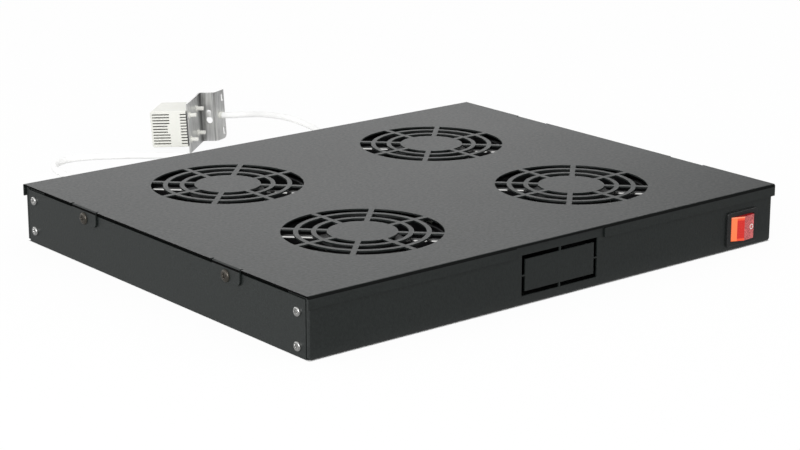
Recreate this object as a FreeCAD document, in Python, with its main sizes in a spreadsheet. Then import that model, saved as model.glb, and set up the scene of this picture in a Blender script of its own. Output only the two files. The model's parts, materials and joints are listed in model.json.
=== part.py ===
"""Rack fan tray, one unit high, with four axial fans, a rocker switch and a thermostat on a lead.

Millimetres. The origin is the middle of the underside, +X to the right along the front,
+Y to the rear and +Z up. The sizes are the cells of the Sizes sheet, and every sub-part is bound
to them.
"""

import FreeCAD, Part
import math
import os
import re

import Sketcher
from FreeCAD import Placement, Rotation, Vector

SIZES = {
    # folded sheet-steel case
    "tray_w": 440.0,
    "tray_d": 357.0,
    "tray_h": 44.0,
    "sheet": 1.2,
    "coat": 0.3,
    "bend": 1.5,
    "lip": 9.0,
    "notch_w": 84.0,
    "tab_w": 32.0,
    "tab_drop": 12.5,
    "tab_round": 4.5,
    "tab_front": 91.5,
    "tab_rear": 86.5,
    "tab_screw_drop": 8.0,
    "tab_notch_w": 1.6,
    "tab_notch_deep": 2.6,
    "side_gap": 2.3,
    "side_lip": 10.0,
    "upturn": 12.0,
    "strip": 2.6,
    "seam": 1.0,
    "return_l": 24.0,
    "corner_screw_in": 13.5,
    "corner_screw_low": 7.2,
    "corner_screw_high": 30.7,
    "rear_screw_rise": 2.6,
    "screw_r": 2.0,
    "screw_play": 0.15,
    "screw_l": 6.0,
    "pan_r": 3.5,
    "pan_h": 1.8,
    "button_r": 4.6,
    "button_h": 1.8,
    # ring grilles
    "fan_pitch_x": 200.0,
    "fan_pitch_y": 164.0,
    "disc_r": 25.0,
    "ring_bar": 3.5,
    "slot_inner": 7.5,
    "slot_middle": 9.0,
    "slot_outer": 9.0,
    "spoke_w": 4.0,
    "spokes": 8,
    # knock-out for a panel thermostat
    "knock_w": 71.6,
    "knock_h": 29.4,
    "knock_z": 21.3,
    "knock_slot": 3.2,
    "bridge_w": 1.4,
    "bridge_h": 1.0,
    # axial fans
    "fan_side": 119.5,
    "fan_room": 3.6,
    "flange_t": 4.0,
    "fan_round": 5.0,
    "fan_bore_r": 58.0,
    "duct_wall": 1.7,
    "fan_hole_pitch": 105.0,
    "fan_hole_r": 2.2,
    "strut_w": 7.0,
    "strut_t": 5.0,
    "strut_root": 6.0,
    "mount_r": 29.0,
    "strut_bevel": 1.4,
    "bore_round": 1.2,
    "hub_r": 31.0,
    "hub_wall": 3.0,
    "hub_gap": 1.8,
    "hub_low": 4.0,
    "blades": 5,
    "blade_t": 1.8,
    "blade_gap": 1.0,
    "blade_chord": 30.0,
    "root_pitch": 50.0,
    "tip_pitch": 32.0,
    "shaft_r": 2.5,
    "shaft_play": 0.06,
    "coil_gap": 1.6,
    "fan_head_r": 3.8,
    "fan_head_h": 2.6,
    # rocker switch
    "switch_in": 35.0,
    "switch_z": 16.6,
    "bezel_lip_w": 2.5,
    "bezel_lip_h": 2.15,
    "bezel_t": 2.0,
    "housing_w": 27.0,
    "housing_h": 22.2,
    "housing_d": 24.0,
    "cutout_play": 0.2,
    "well_side": 1.05,
    "well_end": 1.5,
    "pivot_deep": 8.0,
    "rocker_ridge": 11.5,
    "rocker_draft": 1.0,
    "rocker_edge_y": 8.7,
    "rocker_under": 3.0,
    "rocker_play": 0.25,
    "rocker_throw": 9.0,
    "pivot_r": 1.5,
    "pivot_play": 0.05,
    "blade_term_w": 6.3,
    "blade_term_t": 0.8,
    "blade_term_l": 8.0,
    # mains inlet in the rear wall
    "inlet_x": 120.0,
    "inlet_z": 21.5,
    "inlet_flange_w": 31.0,
    "inlet_flange_h": 24.0,
    "inlet_flange_t": 2.5,
    "inlet_body_w": 27.0,
    "inlet_body_h": 19.8,
    "inlet_d": 19.0,
    "inlet_well_w": 24.2,
    "inlet_well_h": 16.6,
    "inlet_well_d": 16.0,
    "inlet_bevel": 4.5,
    "inlet_pin_w": 2.0,
    "inlet_pin_h": 4.0,
    "inlet_pin_pitch": 14.0,
    "inlet_pin_rise": 2.0,
    "inlet_pin_deep": 2.0,
    # terminal strip between the fans
    "strip_poles": 5,
    "pole_pitch": 10.0,
    "pole_w": 8.0,
    "strip_d": 20.0,
    "strip_foot": 6.0,
    "strip_top": 16.0,
    "strip_well_r": 1.7,
    "strip_well_deep": 4.0,
    # lead and its bushing
    "lead_r": 2.7,
    "lead_x": -95.0,
    "lead_z": 22.0,
    "bushing_r": 5.2,
    "bushing_flange_r": 7.5,
    "bushing_flange_t": 2.0,
    "bushing_in": 6.0,
    "bushing_out": 14.0,
    "bushing_tip_r": 3.9,
    # thermostat on its bracket, standing behind the tray
    "stat_x": 26.98,
    "stat_y": 323.03,
    "stat_turn": 48.44,
    "stat_lean": 3.28,
    "bracket_t": 1.5,
    "bracket_h": 44.0,
    "bracket_bend": 3.0,
    "plate_one": 45.8,
    "plate_two": 13.55,
    "plate_three": 13.5,
    "plate_open": 20.0,
    "bracket_corner": 4.0,
    "key_r": 2.9,
    "key_neck_r": 2.1,
    "key_u": 8.4,
    "key_z": 19.0,
    "key_rise": 7.2,
    "lead_hole_w": 6.3,
    "lead_hole_z": 22.0,
    "lead_play": 0.15,
    "grommet_wall": 0.35,
    "grommet_out": 2.6,
    "grommet_flange_r": 4.2,
    "grommet_flange_t": 0.8,
    "oblong_r": 1.75,
    "oblong_l": 7.5,
    "oblong_w": 10.6,
    "oblong_low": 7.0,
    "oblong_high": 37.0,
    "post_r": 1.75,
    "post_play": 0.15,
    "post_l": 6.4,
    "post_pitch_z": 21.7,
    "post_pitch_w": 25.5,
    "post_middle_w": 15.9,
    "collar_r": 2.9,
    "collar_t": 0.8,
    "stat_l": 32.1,
    "stat_w": 36.2,
    "stat_height": 32.2,
    "stat_off": -3.8,
    "stat_z": 6.4,
    "stat_wall": 1.6,
    "stat_base_t": 3.0,
    "stat_base_play": 0.1,
    "stat_bevel": 1.6,
    "vents": 11,
    "vent_pitch": 2.58,
    "vent_h": 1.1,
    "vent_long": 15.3,
    "vent_short": 5.2,
    "vent_edge": 2.0,
    "vent_step": 2.0,
    "dial_r": 5.5,
    "dial_l": 3.2,
    "spindle_r": 2.0,
    "spindle_play": 0.06,
    "spindle_in": 12.0,
    "knob_gap": 0.3,
    "works_gap": 1.0,
    "lead_entry": 16.86,
    "entry_play": 0.4,
}

# route of the thermostat's lead, from the tip of its bushing to the back of the thermostat
LEAD_ROUTE = [
    (-95, 191, 22),
    (-95, 206, 22),
    (-96, 225, 17.5),
    (-97, 246, 10),
    (-99, 268, 4.5),
    (-101, 292, 2.7),
    (-102, 316, 2.7),
    (-100, 336, 2.7),
    (-92, 352, 2.7),
    (-78, 361, 2.7),
    (-60, 360, 2.7),
    (-41, 350, 2.7),
    (-14, 332, 2.7),
    (9, 312, 2.7),
    (31, 289, 2.7),
    (57, 268, 2.7),
    (90, 259, 2.7),
    (122, 266, 2.7),
    (145, 285, 2.7),
    (158, 309, 2.7),
    (161, 330, 4),
    (152, 345, 8.7),
    (134, 346, 14),
    (113, 341, 19),
    (94.5, 334.5, 22.6),
    (78.73, 337.73, 23.37),
    (73.05, 352.12, 22.54),
    (69.21, 359.21, 22.09),
    (62.74, 364.69, 21.61),
    (54.2, 366.19, 21.22),
    (45.66, 363.77, 21),
    (37.13, 356.2, 21),
]

BODY_W = "(tray_w - 2 * sheet - 2 * coat)"
BODY_D = "(tray_d - 2 * sheet - 2 * coat)"
WALL_H = "(tray_h - sheet - coat)"
SIDE_H = "(tray_h - sheet - side_gap)"
FLOOR_W = "(tray_w - 4 * sheet - 4 * coat)"
FAN_T = "(tray_h - 2 * sheet - fan_room)"
SWITCH_X = "(tray_w / 2 - switch_in)"
SCREW_HOLE_R = "(screw_r + screw_play)"
FAN_TOP = "(tray_h - sheet - fan_room)"
MOUNT_LOW = "(tray_h - sheet - fan_room - strut_t)"
RING_THREE = "(disc_r + slot_inner + 2 * ring_bar + slot_middle + slot_outer)"
BEZEL_W = "(housing_w + 2 * bezel_lip_w)"
BEZEL_H = "(housing_h + 2 * bezel_lip_h)"
WELL_W = "(housing_w - 2 * well_side)"
WELL_H = "(housing_h - 2 * well_end)"
ROCKER_SKIRT = f"({WELL_W} / 2 - rocker_play)"
GROMMET_R = "(lead_r + lead_play + grommet_wall)"
PIVOT_Y = "(pivot_deep - bezel_t - tray_d / 2 + sheet + coat)"
WORD = re.compile(r"[a-z_]+")
CORNERS = ((-1, -1), (1, -1), (-1, 1), (1, 1))

doc = FreeCAD.newDocument("rack_fan_tray")
sizes = doc.addObject("Spreadsheet::Sheet", "Sizes")
finished = []


def fill_sheet():
    """One row per size: its name, its number, and the name again as the cell's alias."""
    for row, (alias, number) in enumerate(SIZES.items(), start=1):
        sizes.set(f"A{row}", alias)
        sizes.set(f"B{row}", str(number))
        sizes.setAlias(f"B{row}", alias)
    doc.recompute()


def formula(text):
    """The text with each size written as a cell of the sheet."""

    def named(word):
        return "Sizes." + word.group() if word.group() in SIZES else word.group()

    return WORD.sub(named, str(text))


def value(text):
    return float(sizes.evalExpression(formula(text)))


def bind(thing, **settings):
    for name, text in settings.items():
        thing.setExpression(name, formula(text))
    return thing


def put(thing, x=0, y=0, z=0):
    """Binds where a thing stands; its turn, if it has one, is kept."""
    for axis, text in zip("xyz", (x, y, z)):
        thing.setExpression(f"Placement.Base.{axis}", formula(text))
    return thing


def block(name, length, width, height, x=0, y=0, z=0):
    thing = doc.addObject("Part::Box", name)
    return put(bind(thing, Length=length, Width=width, Height=height), x, y, z)


TURNS = {
    "x": Rotation(Vector(0, 1, 0), 90),
    "y": Rotation(Vector(1, 0, 0), -90),
    "z": Rotation(),
}


def drum(name, radius, height, x=0, y=0, z=0, along="z"):
    thing = doc.addObject("Part::Cylinder", name)
    thing.Placement = Placement(Vector(), TURNS[along])
    return put(bind(thing, Radius=radius, Height=height), x, y, z)


def cone(name, radius, far_radius, height, x, y, z, along="z"):
    thing = doc.addObject("Part::Cone", name)
    thing.Placement = Placement(Vector(), TURNS[along])
    return put(bind(thing, Radius1=radius, Radius2=far_radius, Height=height), x, y, z)


def group(name, things):
    thing = doc.addObject("Part::Compound", name)
    thing.Links = things
    return thing


def join(name, *things):
    thing = doc.addObject("Part::MultiFuse", name)
    thing.Shapes = list(things)
    thing.Refine = True
    return thing


def cut(name, base, *tools):
    """Base less the tools, which stand clear of each other."""
    thing = doc.addObject("Part::Cut", name)
    thing.Base = base
    thing.Tool = tools[0] if len(tools) == 1 else group(name + "_tools", list(tools))
    thing.Refine = True
    return thing


def common(name, base, tool):
    thing = doc.addObject("Part::Common", name)
    thing.Base = base
    thing.Tool = tool
    return thing


def edges(shape, test):
    """Numbers of the straight edges that pass a test of their direction and middle point."""
    found = []
    for number, edge in enumerate(shape.Edges, start=1):
        if edge.Curve.TypeId != "Part::GeomLine":
            continue
        ends = [vertex.Point for vertex in edge.Vertexes]
        if test((ends[1] - ends[0]).normalize(), (ends[0] + ends[1]) * 0.5):
            found.append(number)
    return found


def runs_along(direction, axis):
    return abs(direction.dot(axis)) > 0.999


def rounded(name, base, radius, test):
    """Part fillet of the base's edges that pass the test."""
    doc.recompute()
    thing = doc.addObject("Part::Fillet", name)
    thing.Base = base
    size = value(radius)
    thing.Edges = [(number, size, size) for number in edges(base.Shape, test)]
    return thing


def worked(kind, name, base, size, test):
    """Part fillet or chamfer of the base's edges, straight or not, that pass the test."""
    doc.recompute()
    thing = doc.addObject(kind, name)
    thing.Base = base
    size = value(size)
    chosen = [number for number, edge in enumerate(base.Shape.Edges, start=1) if test(edge)]
    thing.Edges = [(number, size, size) for number in chosen]
    return thing


def new_body(name):
    return doc.addObject("PartDesign::Body", name)


def sketch(body, name, plane, offset="0"):
    thing = body.newObject("Sketcher::SketchObject", name)
    role = plane + "_Plane"
    support = [feature for feature in body.Origin.OriginFeatures if feature.Role == role][0]
    thing.AttachmentSupport = (support, [""])
    thing.MapMode = "FlatFace"
    thing.setExpression("AttachmentOffset.Base.z", formula(offset))
    return thing


def outline(drawing, corners):
    """Closed outline whose corners are held from the sketch's origin by bound distances."""
    places = [Vector(value(across), value(up), 0) for across, up in corners]
    count = len(places)
    for number, place in enumerate(places):
        drawing.addGeometry(Part.LineSegment(place, places[(number + 1) % count]))
    for number in range(count):
        drawing.addConstraint(Sketcher.Constraint("Coincident", number, 2, (number + 1) % count, 1))
    for number, corner in enumerate(corners):
        for kind, text, start in zip(("DistanceX", "DistanceY"), corner, places[number]):
            held = drawing.addConstraint(Sketcher.Constraint(kind, -1, 1, number, 1, start))
            drawing.setExpression(f"Constraints[{held}]", formula(text))
    return drawing


def rectangle(drawing, left, low, right, high):
    return outline(drawing, [(left, low), (right, low), (right, high), (left, high)])


def pad(body, name, drawing, length):
    thing = body.newObject("PartDesign::Pad", name)
    thing.Profile = drawing
    return bind(thing, Length=length)


def soften(body, name, radius, test):
    """PartDesign fillet of the tip's edges that pass the test."""
    doc.recompute()
    tip = body.Tip
    thing = body.newObject("PartDesign::Fillet", name)
    thing.Base = (tip, [f"Edge{number}" for number in edges(tip.Shape, test)])
    return bind(thing, Radius=radius)


def finish(thing, label):
    thing.Label = label
    finished.append(thing)
    return thing


def fan_places():
    """Name and centre of each fan, as text for the sheet."""
    places = []
    for end, across in (("front", "-"), ("rear", "")):
        for hand, along in (("left", "-"), ("right", "")):
            places.append((f"{end}_{hand}", f"{along}fan_pitch_x / 2", f"{across}fan_pitch_y / 2"))
    return places


def corner_screw_places():
    """Hand, end and height of the eight screws that hold the side panels."""
    return [
        (hand, end, height if end else height + " + rear_screw_rise")
        for hand in ("-", "")
        for end in ("-", "")
        for height in ("corner_screw_low", "corner_screw_high")
    ]


def tab_places():
    """Hand and middle of the lid's four tabs."""
    middles = ("tab_front - tray_d / 2", "tray_d / 2 - tab_rear")
    return [(hand, middle) for hand in ("-", "") for middle in middles]


def cross_screw(name, hand, head_r, head_h, face, y, z):
    """Screw along X whose head stands on the face at that distance from the middle."""
    outwards = hand != "-"
    head_x = face if outwards else f"-({face}) - {head_h}"
    shank_x = f"{face} - screw_l" if outwards else f"-({face})"
    head = drum(name + "_head", head_r, head_h, head_x, y, z, "x")
    shank = drum(name + "_shank", "screw_r", "screw_l", shank_x, y, z, "x")
    return join(name, head, shank)


def cross_hole(name, hand, y, z):
    """Hole for a screw along X, through everything within a screw's length of the side."""
    x = "tray_w / 2 - 2 * screw_l" if hand == "" else "-tray_w / 2 - screw_l"
    return drum(name, SCREW_HOLE_R, "3 * screw_l", x, y, z, "x")


def grille(name, x, y, sheet_low):
    """What the punch takes out of a sheet at one fan: three rings, crossed by spokes."""
    rings = []
    inner = "disc_r"
    for number, slot in enumerate(("slot_inner", "slot_middle", "slot_outer")):
        outer = f"{inner} + {slot}"
        low = f"{sheet_low} - sheet"
        hole = drum(f"{name}_hole_{number}", inner, "3 * sheet", x, y, low)
        disc = drum(f"{name}_disc_{number}", outer, "3 * sheet", x, y, low)
        rings.append(cut(f"{name}_ring_{number}", disc, hole))
        inner = f"{outer} + ring_bar"
    bars = []
    for number in range(int(value("spokes")) // 2):
        bar = doc.addObject("Part::Box", f"{name}_bar_{number}")
        bind(bar, Length=f"2.2 * {RING_THREE}", Width="spoke_w", Height="5 * sheet")
        turn = Rotation(Vector(0, 0, 1), 360.0 * number / value("spokes"))
        bar.Placement = Placement(Vector(), turn)
        ahead = turn.multVec(Vector(1, 0, 0))
        aside = turn.multVec(Vector(0, 1, 0))
        put(
            bar,
            f"{x} - 1.1 * {RING_THREE} * {ahead.x:.9f} - spoke_w / 2 * {aside.x:.9f}",
            f"{y} - 1.1 * {RING_THREE} * {ahead.y:.9f} - spoke_w / 2 * {aside.y:.9f}",
            f"{sheet_low} - 2 * sheet",
        )
        bars.append(bar)
    return cut(name, group(name + "_rings", rings), join(name + "_spokes", *bars))


def make_lid():
    body = new_body("LidSheet")
    lips = outline(
        sketch(body, "LidSection", "YZ", "-tray_w / 2"),
        [
            ("-tray_d / 2", "tray_h - lip"),
            ("-tray_d / 2 + sheet", "tray_h - lip"),
            ("-tray_d / 2 + sheet", "tray_h - sheet"),
            ("tray_d / 2 - sheet", "tray_h - sheet"),
            ("tray_d / 2 - sheet", "tray_h - lip"),
            ("tray_d / 2", "tray_h - lip"),
            ("tray_d / 2", "tray_h"),
            ("-tray_d / 2", "tray_h"),
        ],
    )
    pad(body, "LidTop", lips, "tray_w")
    for number, (hand, middle) in enumerate(tab_places()):
        offset = "-tray_w / 2" if hand == "-" else "tray_w / 2 - sheet"
        drawing = sketch(body, f"TabOutline{number}", "YZ", offset)
        rectangle(drawing, f"{middle} - tab_w / 2", "tray_h - tab_drop", f"{middle} + tab_w / 2", "tray_h")
        pad(body, f"Tab{number}", drawing, "sheet")
    x_axis = Vector(1, 0, 0)
    top, low, reach = value("tray_h"), value("tray_h - tab_drop"), value("tray_d / 2")
    soften(
        body,
        "LipBends",
        "bend",
        lambda way, middle: runs_along(way, x_axis)
        and middle.z > top - 0.01
        and abs(middle.y) > reach - 0.01,
    )
    soften(
        body,
        "TabCorners",
        "tab_round",
        lambda way, middle: runs_along(way, x_axis) and middle.z < low + 0.01,
    )
    notch = block(
        "Notch",
        "notch_w",
        "2 * sheet",
        "lip",
        "-notch_w / 2",
        "-tray_d / 2 - sheet / 2",
        "tray_h - bend - lip",
    )
    reliefs = []
    for number, (hand, middle) in enumerate(tab_places()):
        left = "-tray_w / 2 - tab_notch_deep" if hand else "tray_w / 2 - tab_notch_deep"
        for word, start in (("Front", "- tab_w / 2 - tab_notch_w"), ("Rear", "+ tab_w / 2")):
            name = f"TabRelief{word}{number}"
            low = "tray_h - 3 * sheet"
            reliefs.append(block(name, "2 * tab_notch_deep", "tab_notch_w", "6 * sheet", left, f"{middle} {start}", low))
    relieved = cut("LidRelieved", body, *reliefs)
    y_axis, side = Vector(0, 1, 0), value("tray_w / 2")
    middles = [value(middle) for hand, middle in tab_places()]
    bent = rounded(
        "TabBends",
        relieved,
        "bend",
        lambda way, middle: runs_along(way, y_axis)
        and middle.z > top - 0.01
        and abs(middle.x) > side - 0.01
        and any(abs(middle.y - place) < 0.01 for place in middles),
    )
    holes = [
        cross_hole(f"TabHole{number}", hand, middle, "tray_h - tab_screw_drop")
        for number, (hand, middle) in enumerate(tab_places())
    ]
    grilles = [grille("Outlet_" + name, x, y, "(tray_h - sheet)") for name, x, y in fan_places()]
    finish(cut("Lid", bent, notch, *holes, *grilles), "lid")


def corner_return(body, name, hand, end):
    """Front or rear wall round the corner: a narrow strip, a joggle, then the flange behind the side."""

    def corner(across, along):
        return (f"{hand}({BODY_W} / 2 - ({across}))", f"{end}({BODY_D} / 2 - ({along}))")

    step = "(sheet + coat)"
    drawing = outline(
        sketch(body, name + "Outline", "XY", "sheet + coat"),
        [
            corner("5 * bend", "0"),
            corner("0", "0"),
            corner("0", "strip"),
            corner(step, "strip + seam - coat"),
            corner(step, "return_l"),
            corner(f"sheet + {step}", "return_l"),
            corner(f"sheet + {step}", "strip + seam - coat - sheet / 2"),
            corner("sheet", "strip - sheet / 2"),
            corner("sheet", "sheet"),
            corner("5 * bend", "sheet"),
        ],
    )
    pad(body, name, drawing, f"{WALL_H} - sheet - coat")


def knock_out():
    """Four corner slots that leave the panel held by a bridge in the middle of each side."""
    y = f"-{BODY_D} / 2 - sheet"
    low = "knock_z - knock_h / 2"
    whole = block("KnockWhole", "knock_w", "3 * sheet", "knock_h", "-knock_w / 2", y, low)
    inner = block(
        "KnockInner",
        "knock_w - 2 * knock_slot",
        "3 * sheet",
        "knock_h - 2 * knock_slot",
        "-knock_w / 2 + knock_slot",
        y,
        f"{low} + knock_slot",
    )
    upright = block("BridgeUpright", "bridge_w", "3 * sheet", "knock_h", "-bridge_w / 2", y, low)
    middle = "knock_z - bridge_h / 2"
    level = block("BridgeLevel", "knock_w", "3 * sheet", "bridge_h", "-knock_w / 2", y, middle)
    return cut("KnockOut", whole, join("KnockStays", inner, upright, level))


def make_base_tray():
    body = new_body("TraySheet")
    section = outline(
        sketch(body, "TraySection", "YZ", f"-{FLOOR_W} / 2"),
        [
            (f"-{BODY_D} / 2", "0"),
            (f"{BODY_D} / 2", "0"),
            (f"{BODY_D} / 2", WALL_H),
            (f"{BODY_D} / 2 - sheet", WALL_H),
            (f"{BODY_D} / 2 - sheet", "sheet"),
            (f"-{BODY_D} / 2 + sheet", "sheet"),
            (f"-{BODY_D} / 2 + sheet", WALL_H),
            (f"-{BODY_D} / 2", WALL_H),
        ],
    )
    pad(body, "TrayFloor", section, FLOOR_W)
    for number, left in enumerate((f"-{FLOOR_W} / 2", f"{FLOOR_W} / 2 - sheet")):
        drawing = sketch(body, f"UpturnOutline{number}", "XY")
        reach = f"({BODY_D} / 2 - return_l - 2 * bend)"
        rectangle(drawing, left, f"-{reach}", f"{left} + sheet", reach)
        pad(body, f"Upturn{number}", drawing, "upturn")
    for hand in ("-", ""):
        for end in ("-", ""):
            corner_return(body, f"Return{'L' if hand else 'R'}{'F' if end else 'B'}", hand, end)
    z_axis, side, front = Vector(0, 0, 1), value(BODY_W) / 2, value(BODY_D) / 2
    soften(
        body,
        "CornerBends",
        "bend",
        lambda way, middle: runs_along(way, z_axis)
        and abs(middle.x) > side - 0.01
        and abs(middle.y) > front - 0.01,
    )
    x_axis = Vector(1, 0, 0)
    soften(
        body,
        "FloorBends",
        "bend",
        lambda way, middle: runs_along(way, x_axis) and middle.z < 0.01 and abs(middle.y) > front - 0.01,
    )
    tools = [knock_out()]
    rear = f"{BODY_D} / 2 - 3 * sheet"
    tools.append(
        block(
            "SwitchHole",
            "housing_w + 2 * cutout_play",
            "4 * sheet",
            "housing_h + 2 * cutout_play",
            f"{SWITCH_X} - housing_w / 2 - cutout_play",
            f"-{BODY_D} / 2 - sheet",
            "switch_z - housing_h / 2 - cutout_play",
        )
    )
    tools.append(
        block(
            "InletHole",
            "inlet_body_w + 2 * cutout_play",
            "4 * sheet",
            "inlet_body_h + 2 * cutout_play",
            "inlet_x - inlet_body_w / 2 - cutout_play",
            rear,
            "inlet_z - inlet_body_h / 2 - cutout_play",
        )
    )
    tools.append(drum("LeadHole", "bushing_r", "4 * sheet", "lead_x", rear, "lead_z", "y"))
    for number, (hand, end, height) in enumerate(corner_screw_places()):
        y = f"{end}(tray_d / 2 - corner_screw_in)"
        tools.append(cross_hole(f"ReturnHole{number}", hand, y, height))
    for name, x, y in fan_places():
        tools.append(grille("Intake_" + name, x, y, "0"))
        for number, (right, back) in enumerate(CORNERS):
            hole_x = f"{x} + {right} * fan_hole_pitch / 2"
            hole_y = f"{y} + {back} * fan_hole_pitch / 2"
            tools.append(drum(f"FanTap_{name}_{number}", "screw_r", "3 * sheet", hole_x, hole_y, "-sheet"))
    finish(cut("BaseTray", body, *tools), "base_tray")


def make_side_panel(label, hand):
    body = new_body("Panel" + label)
    reach = f"({BODY_D} / 2 - strip - seam)"
    short = f"({BODY_D} / 2 - return_l - 2 * bend)"
    outer, inner = f"{hand}{BODY_W} / 2", f"{hand}({BODY_W} / 2 - sheet)"
    plate = rectangle(sketch(body, "PlateOutline", "XZ", f"-{reach}"), outer, "0", inner, SIDE_H)
    pad(body, "Plate", plate, f"2 * {reach}")
    lip = rectangle(
        sketch(body, "LipOutline", "XZ", f"-{short}"),
        outer,
        f"{SIDE_H} - sheet",
        f"{hand}({BODY_W} / 2 - side_lip)",
        SIDE_H,
    )
    pad(body, "Lip", lip, f"2 * {short}")
    holes = [
        cross_hole(f"{label}Hole{number}", hand, f"{end}(tray_d / 2 - corner_screw_in)", height)
        for number, (side, end, height) in enumerate(corner_screw_places())
        if side == hand
    ]
    holes += [
        cross_hole(f"{label}TabHole{number}", hand, middle, "tray_h - tab_screw_drop")
        for number, (side, middle) in enumerate(tab_places())
        if side == hand
    ]
    finish(cut("Side" + label, body, *holes), "side_panel_" + label)


def make_case_screws():
    corner_screws = [
        cross_screw(
            f"CornerScrew{number}",
            hand,
            "pan_r",
            "pan_h",
            f"{BODY_W} / 2",
            f"{end}(tray_d / 2 - corner_screw_in)",
            height,
        )
        for number, (hand, end, height) in enumerate(corner_screw_places())
    ]
    finish(group("CornerScrews", corner_screws), "side_panel_screws")
    height = "tray_h - tab_screw_drop"
    lid_screws = [
        cross_screw(f"LidScrew{number}", hand, "button_r", "button_h", "tray_w / 2", middle, height)
        for number, (hand, middle) in enumerate(tab_places())
    ]
    finish(group("LidScrews", lid_screws), "lid_screws")


def make_fan_frame(name, x, y):
    side = "fan_side"
    left, front = f"{x} - {side} / 2", f"{y} - {side} / 2"
    plates = [
        block(f"{name}_plate_{number}", side, side, "flange_t", left, front, low)
        for number, low in enumerate(("sheet", f"{FAN_TOP} - flange_t"))
    ]
    duct = drum(name + "_duct", "fan_bore_r + duct_wall", FAN_T, x, y, "sheet")
    shell = join(name + "_shell", *plates, duct)
    z_axis, middle_x, middle_y, half = Vector(0, 0, 1), value(x), value(y), value("fan_side / 2")
    shell = rounded(
        name + "_corners",
        shell,
        "fan_round",
        lambda way, middle: runs_along(way, z_axis)
        and abs(middle.x - middle_x) > half - 0.01
        and abs(middle.y - middle_y) > half - 0.01,
    )
    bore = drum(name + "_bore", "fan_bore_r", f"2 * {FAN_T}", x, y, f"sheet - {FAN_T} / 2")
    holes = [
        drum(
            f"{name}_corner_hole_{number}",
            "fan_hole_r",
            f"2 * {FAN_T}",
            f"{x} + {right} * fan_hole_pitch / 2",
            f"{y} + {back} * fan_hole_pitch / 2",
            f"sheet - {FAN_T} / 2",
        )
        for number, (right, back) in enumerate(CORNERS)
    ]
    shell = cut(name + "_housing", shell, bore, *holes)
    top, bore_r = value(FAN_TOP), value("fan_bore_r")
    shell = worked(
        "Part::Fillet",
        name + "_rim",
        shell,
        "bore_round",
        lambda edge: all(
            abs(vertex.Z - top) < 0.01
            and abs(math.hypot(vertex.X - middle_x, vertex.Y - middle_y) - bore_r) < 0.01
            for vertex in edge.Vertexes
        ),
    )
    struts = []
    reach = "(fan_bore_r + duct_wall / 2)"
    for number, degrees in enumerate((45, 135)):
        strut = doc.addObject("Part::Box", f"{name}_strut_{number}")
        bind(strut, Length=f"2 * {reach}", Width="strut_w", Height="strut_t")
        turn = Rotation(Vector(0, 0, 1), degrees)
        strut.Placement = Placement(Vector(), turn)
        ahead = turn.multVec(Vector(1, 0, 0))
        aside = turn.multVec(Vector(0, 1, 0))
        put(
            strut,
            f"{x} - {reach} * {ahead.x:.9f} - strut_w / 2 * {aside.x:.9f}",
            f"{y} - {reach} * {ahead.y:.9f} - strut_w / 2 * {aside.y:.9f}",
            MOUNT_LOW,
        )
        struts.append(strut)
    plate = drum(name + "_mount", "mount_r", "strut_t", x, y, MOUNT_LOW)
    spider = join(name + "_spider", plate, *struts)
    mount_r = value("mount_r")
    spider = rounded(
        name + "_roots",
        spider,
        "strut_root",
        lambda way, middle: runs_along(way, z_axis)
        and math.hypot(middle.x - middle_x, middle.y - middle_y) < mount_r + 0.5,
    )
    inside = value(f"{reach} - 1.5 * strut_w")
    spider = worked(
        "Part::Chamfer",
        name + "_bevels",
        spider,
        "strut_bevel",
        lambda edge: all(abs(vertex.Z - top) < 0.01 for vertex in edge.Vertexes)
        and min(math.hypot(vertex.X - middle_x, vertex.Y - middle_y) for vertex in edge.Vertexes) < inside,
    )
    low = f"{MOUNT_LOW} - strut_t / 2"
    bearing = drum(name + "_bearing", "shaft_r + shaft_play", "2 * strut_t", x, y, low)
    finish(cut(name, join(name + "_whole", shell, spider), bearing), "fan_frame_" + name.split("Frame_")[1])


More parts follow.
